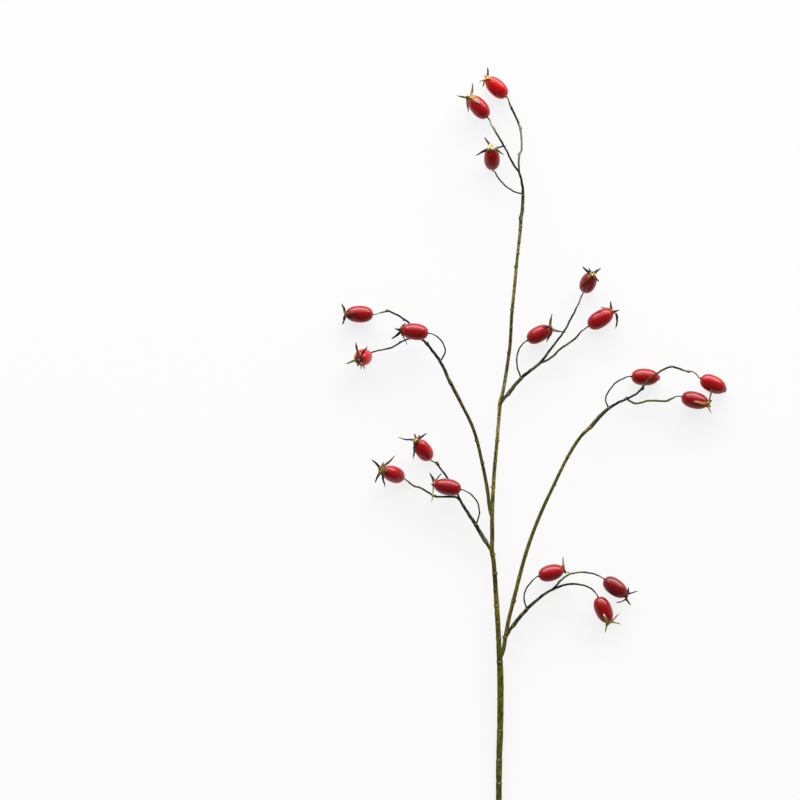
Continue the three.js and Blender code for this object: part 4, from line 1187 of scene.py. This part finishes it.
class Nodes:
    """The node tree of a material or a world, with a short call for each kind of node."""

    def __init__(self, owner, shader):
        owner.use_nodes = True
        self.owner = owner
        self.tree = owner.node_tree
        self.shader = self.tree.nodes[shader]

    def plug(self, node, inputs):
        """Links or sets a node's inputs, by their names or numbers."""
        for name, value in inputs.items():
            socket = node.inputs[name]
            if isinstance(value, bpy.types.NodeSocket):
                self.tree.links.new(value, socket)
            else:
                socket.default_value = value

    def node(self, kind, inputs, **settings):
        """The outputs of a new node."""
        node = self.tree.nodes.new(f"ShaderNode{kind}")
        for name, setting in settings.items():
            setattr(node, name, setting)
        self.plug(node, inputs)
        return node.outputs

    def carried(self, name, output="Fac"):
        """What the points carry: "Fac" for a number, "Color" for a colour, "Vector" for a place."""
        return self.node("Attribute", {}, attribute_name=name)[output]

    def vector(self, name, stretch=(1, 1, 1)):
        """A place that the points carry, stretched."""
        place = self.carried(name, "Vector")
        return self.node("VectorMath", {0: place, 1: stretch}, operation="MULTIPLY")["Vector"]

    def noise(self, place, scale, detail=3.0, roughness=0.5):
        inputs = {"Vector": place, "Scale": scale, "Detail": detail, "Roughness": roughness}
        return self.node("TexNoise", inputs)["Fac"]

    def pattern(self, name, stretch, *kind):
        """Noise over a place that the points carry, stretched."""
        return self.noise(self.vector(name, stretch), *kind)

    def dots(self, place, scale, size):
        """Small round dots: 1 in their middle and 0 outside them."""
        distance = self.node("TexVoronoi", {"Vector": place, "Scale": scale})["Distance"]
        return self.span(distance, size, DOT_CORE * size)

    def span(self, value, low, high, new_low=0.0, new_high=1.0):
        """A value from one range brought smoothly into another, and kept within it."""
        inputs = {"Value": value, "From Min": low, "From Max": high}
        inputs.update({"To Min": new_low, "To Max": new_high})
        return self.node("MapRange", inputs, interpolation_type="SMOOTHSTEP")["Result"]

    def math(self, operation, first, second):
        return self.node("Math", {0: first, 1: second}, operation=operation)["Value"]

    def mix(self, share, first, second):
        """From one colour to another by a share. Either can be a colour as written. The node's
        colours are its inputs 6 and 7 and its output 2."""
        first, second = (rgb(c) if isinstance(c, tuple) else c for c in (first, second))
        return self.node("Mix", {0: share, 6: first, 7: second}, data_type="RGBA")[2]

    def times(self, *factors):
        """Numbers multiplied together."""
        product = factors[0]
        for factor in factors[1:]:
            product = self.math("MULTIPLY", product, factor)
        return product

    def layer(self, colour, value, tone, *ends):
        """A tone over a colour, by a share that goes with a value."""
        return self.mix(self.span(value, *ends), colour, tone)

    def shade(self, colour, factor):
        """A colour made darker or lighter."""
        return self.node("VectorMath", {0: colour, "Scale": factor}, operation="SCALE")["Vector"]

    def bump(self, height, depth, **under):
        """A normal with bumps of a depth in millimetres, over another if one is given."""
        return self.node("Bump", {"Height": height, "Distance": depth * MM, **under})["Normal"]


def new_material(name):
    return Nodes(bpy.data.materials.new(name), "Principled BSDF")


def bark_material(name, dark_streaks, fleck_and_glint_share, gloss):
    """Smooth bark: the colour that each point carries, with dark streaks along it and light flecks
    that are partly painted glints, pale lips at the joints that are partly a painted highlight, and
    painted shade in the dark grooves beside them."""
    nodes = new_material(name)
    streaks = nodes.pattern("bark", *STREAK_PATTERN)
    grains = nodes.pattern("bark", *GRAIN_PATTERN)
    shades = nodes.span(nodes.pattern("bark", *PATCH_PATTERN), *BARK_SHADES)
    spots = nodes.span(nodes.pattern("bark", *LIP_PATTERN), *LIP_SPOTS)
    lips = nodes.times(nodes.carried("pale"), spots, LIP_SHARE)
    grooves = nodes.times(nodes.carried("groove"), GROOVE_SHARE)
    wood = nodes.mix(nodes.span(grains, *WOOD_GRAIN), *WOOD_TONES)

    colour = nodes.shade(nodes.carried("tint", "Color"), shades)
    colour = nodes.layer(colour, streaks, *STREAKS, dark_streaks, 0)
    # light flecks, partly painted glints
    colour = nodes.layer(colour, streaks, *FLECKS_AND_PAINTED_GLINTS, 0, fleck_and_glint_share)
    colour = nodes.layer(colour, grains, *SPECKLES)
    # pale lips, partly a painted highlight on the joint's swelling
    colour = nodes.mix(lips, colour, LIP_AND_HIGHLIGHT_TONE)
    # painted shade in the grooves beside the joints
    colour = nodes.mix(grooves, colour, GROOVE_SHADE_TONE)
    colour = nodes.mix(nodes.carried("cut"), colour, wood)
    nodes.plug(nodes.shader, {
        "Base Color": colour,
        "Roughness": nodes.span(grains, *BARK_ROUGHNESS),
        "Specular IOR Level": gloss,
        "Normal": nodes.bump(streaks, STREAK_DEPTH, Normal=nodes.bump(grains, BARK_GRAIN_DEPTH)),
    })
    return nodes.owner


def hip_material():
    """Waxy red skin, darker towards the calyx, with faint blotches and tiny specks."""
    nodes = new_material("hip_skin")
    place = nodes.vector("skin_at")
    specks = nodes.dots(place, *HIP_SPECK_DOTS)
    fine = nodes.noise(place, *HIP_GRAIN_NOISE)

    colour = nodes.mix(nodes.carried("bright"), *RIPE_TONES)
    colour = nodes.layer(colour, nodes.noise(place, *BLOTCH_NOISE), *HIP_BLOTCHES)
    colour = nodes.layer(colour, nodes.carried("place"), *HIP_END)
    colour = nodes.mix(nodes.times(specks, HIP_SPECK_SHARE), colour, HIP_SPECK_TONE)
    nodes.plug(nodes.shader, {
        "Base Color": colour,
        "Roughness": nodes.span(fine, *HIP_ROUGHNESS),
        "IOR": HIP_IOR,
        "Normal": nodes.bump(specks, HIP_GRAIN_DEPTH, Normal=nodes.bump(fine, HIP_GRAIN_DEPTH)),
    })
    return nodes.owner


def calyx_material():
    """Dry sepals and cup: the colour that each point carries, mottled, with a paler midrib and
    darker margins."""
    nodes = new_material("calyx_leaf")
    place = nodes.node("TexCoord", {})["Object"]
    shades = nodes.span(nodes.noise(place, *CALYX_MOTTLE_NOISE), *CALYX_SHADES)
    grains = nodes.noise(place, *CALYX_GRAIN_NOISE)
    edge = nodes.carried("edge")

    colour = nodes.shade(nodes.carried("tint", "Color"), shades)
    colour = nodes.layer(colour, edge, *MIDRIB)
    colour = nodes.layer(colour, edge, *MARGIN)
    colour = nodes.layer(colour, grains, *DRY_SPOTS)
    nodes.plug(nodes.shader, {
        "Base Color": colour,
        "Roughness": nodes.span(grains, *CALYX_ROUGHNESS),
        "Specular IOR Level": CALYX_GLOSS,
        "Normal": nodes.bump(grains, CALYX_GRAIN_DEPTH),
    })
    return nodes.owner


# How dark the streaks are, how light the flecks and their painted glints are, and the gloss.
STEM_BARK = bark_material("stem_bark", 0.65, 0.4, 0.06)
ARM_BARK = bark_material("arm_bark", 0.65, 0.3, 0.06)
STALK_BARK = bark_material("stalk_bark", 0.5, 0.08, 0.08)
PEDICEL_BARK = bark_material("pedicel_bark", 0.4, 0.05, 0.08)
HIP_SKIN = hip_material()
CALYX_LEAF = calyx_material()

# ---- the sprig

STALK_SIDES = 18
PEDICEL_SIDES = 14
FIRST_SPRAY_SEED = 5
SPRAY_SEEDS = 37  # from one spray to the next
HIP_SEEDS = 10  # from one hip to the next


def add_stem(name, sides, seed, material, cut_end=False):
    bands = STEM_BANDS[name]
    shell = stem_shell(name, ROUTES[name], sides, STEM_STEP, seed, bands, cut_end=cut_end)
    add_piece(name, [shell], material)


def add_stalk(name, hip, sides, seed, bands, material):
    route = route_to_hip(ROUTES[name], hip)
    bands = OWN_BANDS.get(name, bands)
    shell = stem_shell(name, route, sides, STALK_STEP, seed, bands, is_stalk=True)
    add_piece(name, [shell], material)


def add_spray(name, drawn, seed):
    """One spray: its stalk to its first hip, its pedicels to the others, its hips and calyxes."""
    hips = []
    for i, (_, _, heading, pitch, size, _, _, stand, _) in enumerate(drawn, 1):
        hips.append(HipFrame(f"{name}_hip_{i}", heading, pitch, size, stand))
    add_stalk(f"{name}_spray_stalk", hips[0], STALK_SIDES, seed, STALK_BANDS, STALK_BARK)
    for i, hip in enumerate(hips[1:], 2):
        pedicel = f"{name}_pedicel_{i}"
        add_stalk(pedicel, hip, PEDICEL_SIDES, seed + i, PEDICEL_BANDS, PEDICEL_BARK)
    for i, (hip, (*_, bright, cup, _, sepals)) in enumerate(zip(hips, drawn), 1):
        hip_seed = seed + HIP_SEEDS * i
        add_piece(f"{name}_hip_{i}", [hip_shell(hip, bright, hip_seed)], HIP_SKIN)
        shells = calyx_shells(hip, cup, sepals, hip_seed)
        add_piece(f"{name}_calyx_{i}", shells, CALYX_LEAF)


add_stem("main_stem", sides=26, seed=1, material=STEM_BARK, cut_end=True)
add_stem("right_arm", sides=22, seed=2, material=ARM_BARK)
add_stem("left_arm", sides=22, seed=3, material=ARM_BARK)
for spray_number, (spray_name, spray_hips) in enumerate(HIPS.items()):
    add_spray(spray_name, spray_hips, FIRST_SPRAY_SEED + SPRAY_SEEDS * spray_number)

# ---- floor, light and camera

FLOOR_HALF = 30.0  # metres
FLOOR_WHITE = 0.97
FLOOR_GLOW = 0.8  # how much of the lit floor's look is plain white, where it is seen or reflected
OPEN_FLOOR = (0.6, 1.6)  # metres from the middle, where the floor turns from lit to plain white
WALL_RADIUS = 25.0  # of the low white wall round the floor
WALL_HEIGHT = 3.5
WALL_SIDES = 48
PICTURE_CENTRE = (-79.2, 370)
PICTURE_WIDTH = 640
LENS = 150.0
SENSOR = 36.0
CAMERA_REACH = 100  # metres

# Each lamp is a soft box: its width, height and distance in metres, its radiance, and how far
# it is turned from straight overhead towards the sprig's top, and from there to its left.
LAMPS = {
    "key": (13.0, 6.0, 6.5, 2.0, 58, 2),
    "key_core": (14.0, 3.4, 6.3, 7.6, 79, -8),
}
ZENITH_LIGHT = 0.2
HORIZON_LIGHT = 0.36
HORIZON_BAND = (0.1, 0.6)  # the sine of the heights where the light round the horizon fades
WHITE = (1, 1, 1, 1)


def seen_share(nodes):
    """1 for what the camera sees, straight or in a reflection, and 0 for what lights things."""
    path = nodes.node("LightPath", {})
    seen = nodes.math("MAXIMUM", path["Is Camera Ray"], path["Is Glossy Ray"])
    return nodes.math("MAXIMUM", seen, path["Is Transmission Ray"])


def matt_white(nodes, plain):
    """A matt white surface, which turns plain white by the share that is given."""
    lit = nodes.math("SUBTRACT", FLOOR_WHITE, nodes.times(plain, FLOOR_WHITE))
    grey = nodes.node("CombineColor", {"Red": lit, "Green": lit, "Blue": lit})
    nodes.plug(nodes.shader, {
        "Base Color": grey["Color"],
        "Roughness": 1.0,
        "Specular IOR Level": 0.0,
        "Emission Color": WHITE,
        "Emission Strength": plain,
    })
    return nodes.owner


def add_floor():
    nodes = new_material("white_floor")
    place = nodes.node("TexCoord", {})["Object"]
    distance = nodes.node("VectorMath", {0: place}, operation="LENGTH")["Value"]
    glow = nodes.times(seen_share(nodes), FLOOR_GLOW)
    plain = nodes.math("MAXIMUM", nodes.span(distance, *OPEN_FLOOR), glow)
    corners = [(-1, -1), (1, -1), (1, 1), (-1, 1)]
    points = [(x * FLOOR_HALF, y * FLOOR_HALF, 0) for x, y in corners]
    add_object("floor", points, [(0, 1, 2, 3)], matt_white(nodes, plain))


def add_wall():
    """A low ring round the floor, so that views from low down look onto white as well."""
    nodes = new_material("white_wall")
    points = []
    for step in range(WALL_SIDES):
        turn = 2 * math.pi * step / WALL_SIDES
        x, y = WALL_RADIUS * math.cos(turn), WALL_RADIUS * math.sin(turn)
        points += [(x, y, 0), (x, y, WALL_HEIGHT)]
    corners = 2 * WALL_SIDES
    faces = [(i, (i + 2) % corners, (i + 3) % corners, i + 1) for i in range(0, corners, 2)]
    add_object("wall", points, faces, matt_white(nodes, seen_share(nodes)))


def set_world():
    """Light from all round, a little stronger near the horizon."""
    world = bpy.data.worlds.new("studio")
    bpy.context.scene.world = world
    nodes = Nodes(world, "Background")
    direction = nodes.node("TexCoord", {})["Generated"]
    rise = nodes.node("SeparateXYZ", {"Vector": direction})["Z"]
    strength = nodes.span(rise, *HORIZON_BAND, HORIZON_LIGHT, ZENITH_LIGHT)
    nodes.plug(nodes.shader, {"Color": WHITE, "Strength": strength})


def add_lamp(name, width, height, distance, radiance, tilt, turn):
    """A soft box that faces the sprig's middle."""
    tilt, turn = math.radians(tilt), math.radians(turn)
    level = math.sin(tilt)
    towards = Vector((-level * math.sin(turn), level * math.cos(turn), math.cos(tilt)))
    lamp = bpy.data.lights.new(name, "AREA")
    lamp.shape = "RECTANGLE"
    lamp.size, lamp.size_y = width, height
    lamp.energy = radiance * math.pi * width * height
    box = bpy.data.objects.new(name, lamp)
    box.location = towards * distance
    box.rotation_euler = (-towards).to_track_quat("-Z", "Y").to_euler()
    box.visible_camera = False
    bpy.context.scene.collection.objects.link(box)


def add_camera(target):
    """Straight above the sprig, from as far as a long lens needs."""
    data = bpy.data.cameras.new("camera")
    data.lens, data.sensor_width = LENS, SENSOR
    data.clip_end = CAMERA_REACH
    camera = bpy.data.objects.new("camera", data)
    distance = PICTURE_WIDTH * MM * LENS / SENSOR
    camera.location = target + Vector((0, 0, distance))
    bpy.context.scene.collection.objects.link(camera)
    bpy.context.scene.camera = camera


add_floor()
add_wall()
set_world()
for lamp_name, lamp_drawn in LAMPS.items():
    add_lamp(lamp_name, *lamp_drawn)
add_camera(Vector(to_frame([*PICTURE_CENTRE, 0])))
bpy.context.scene.view_settings.view_transform = "Standard"
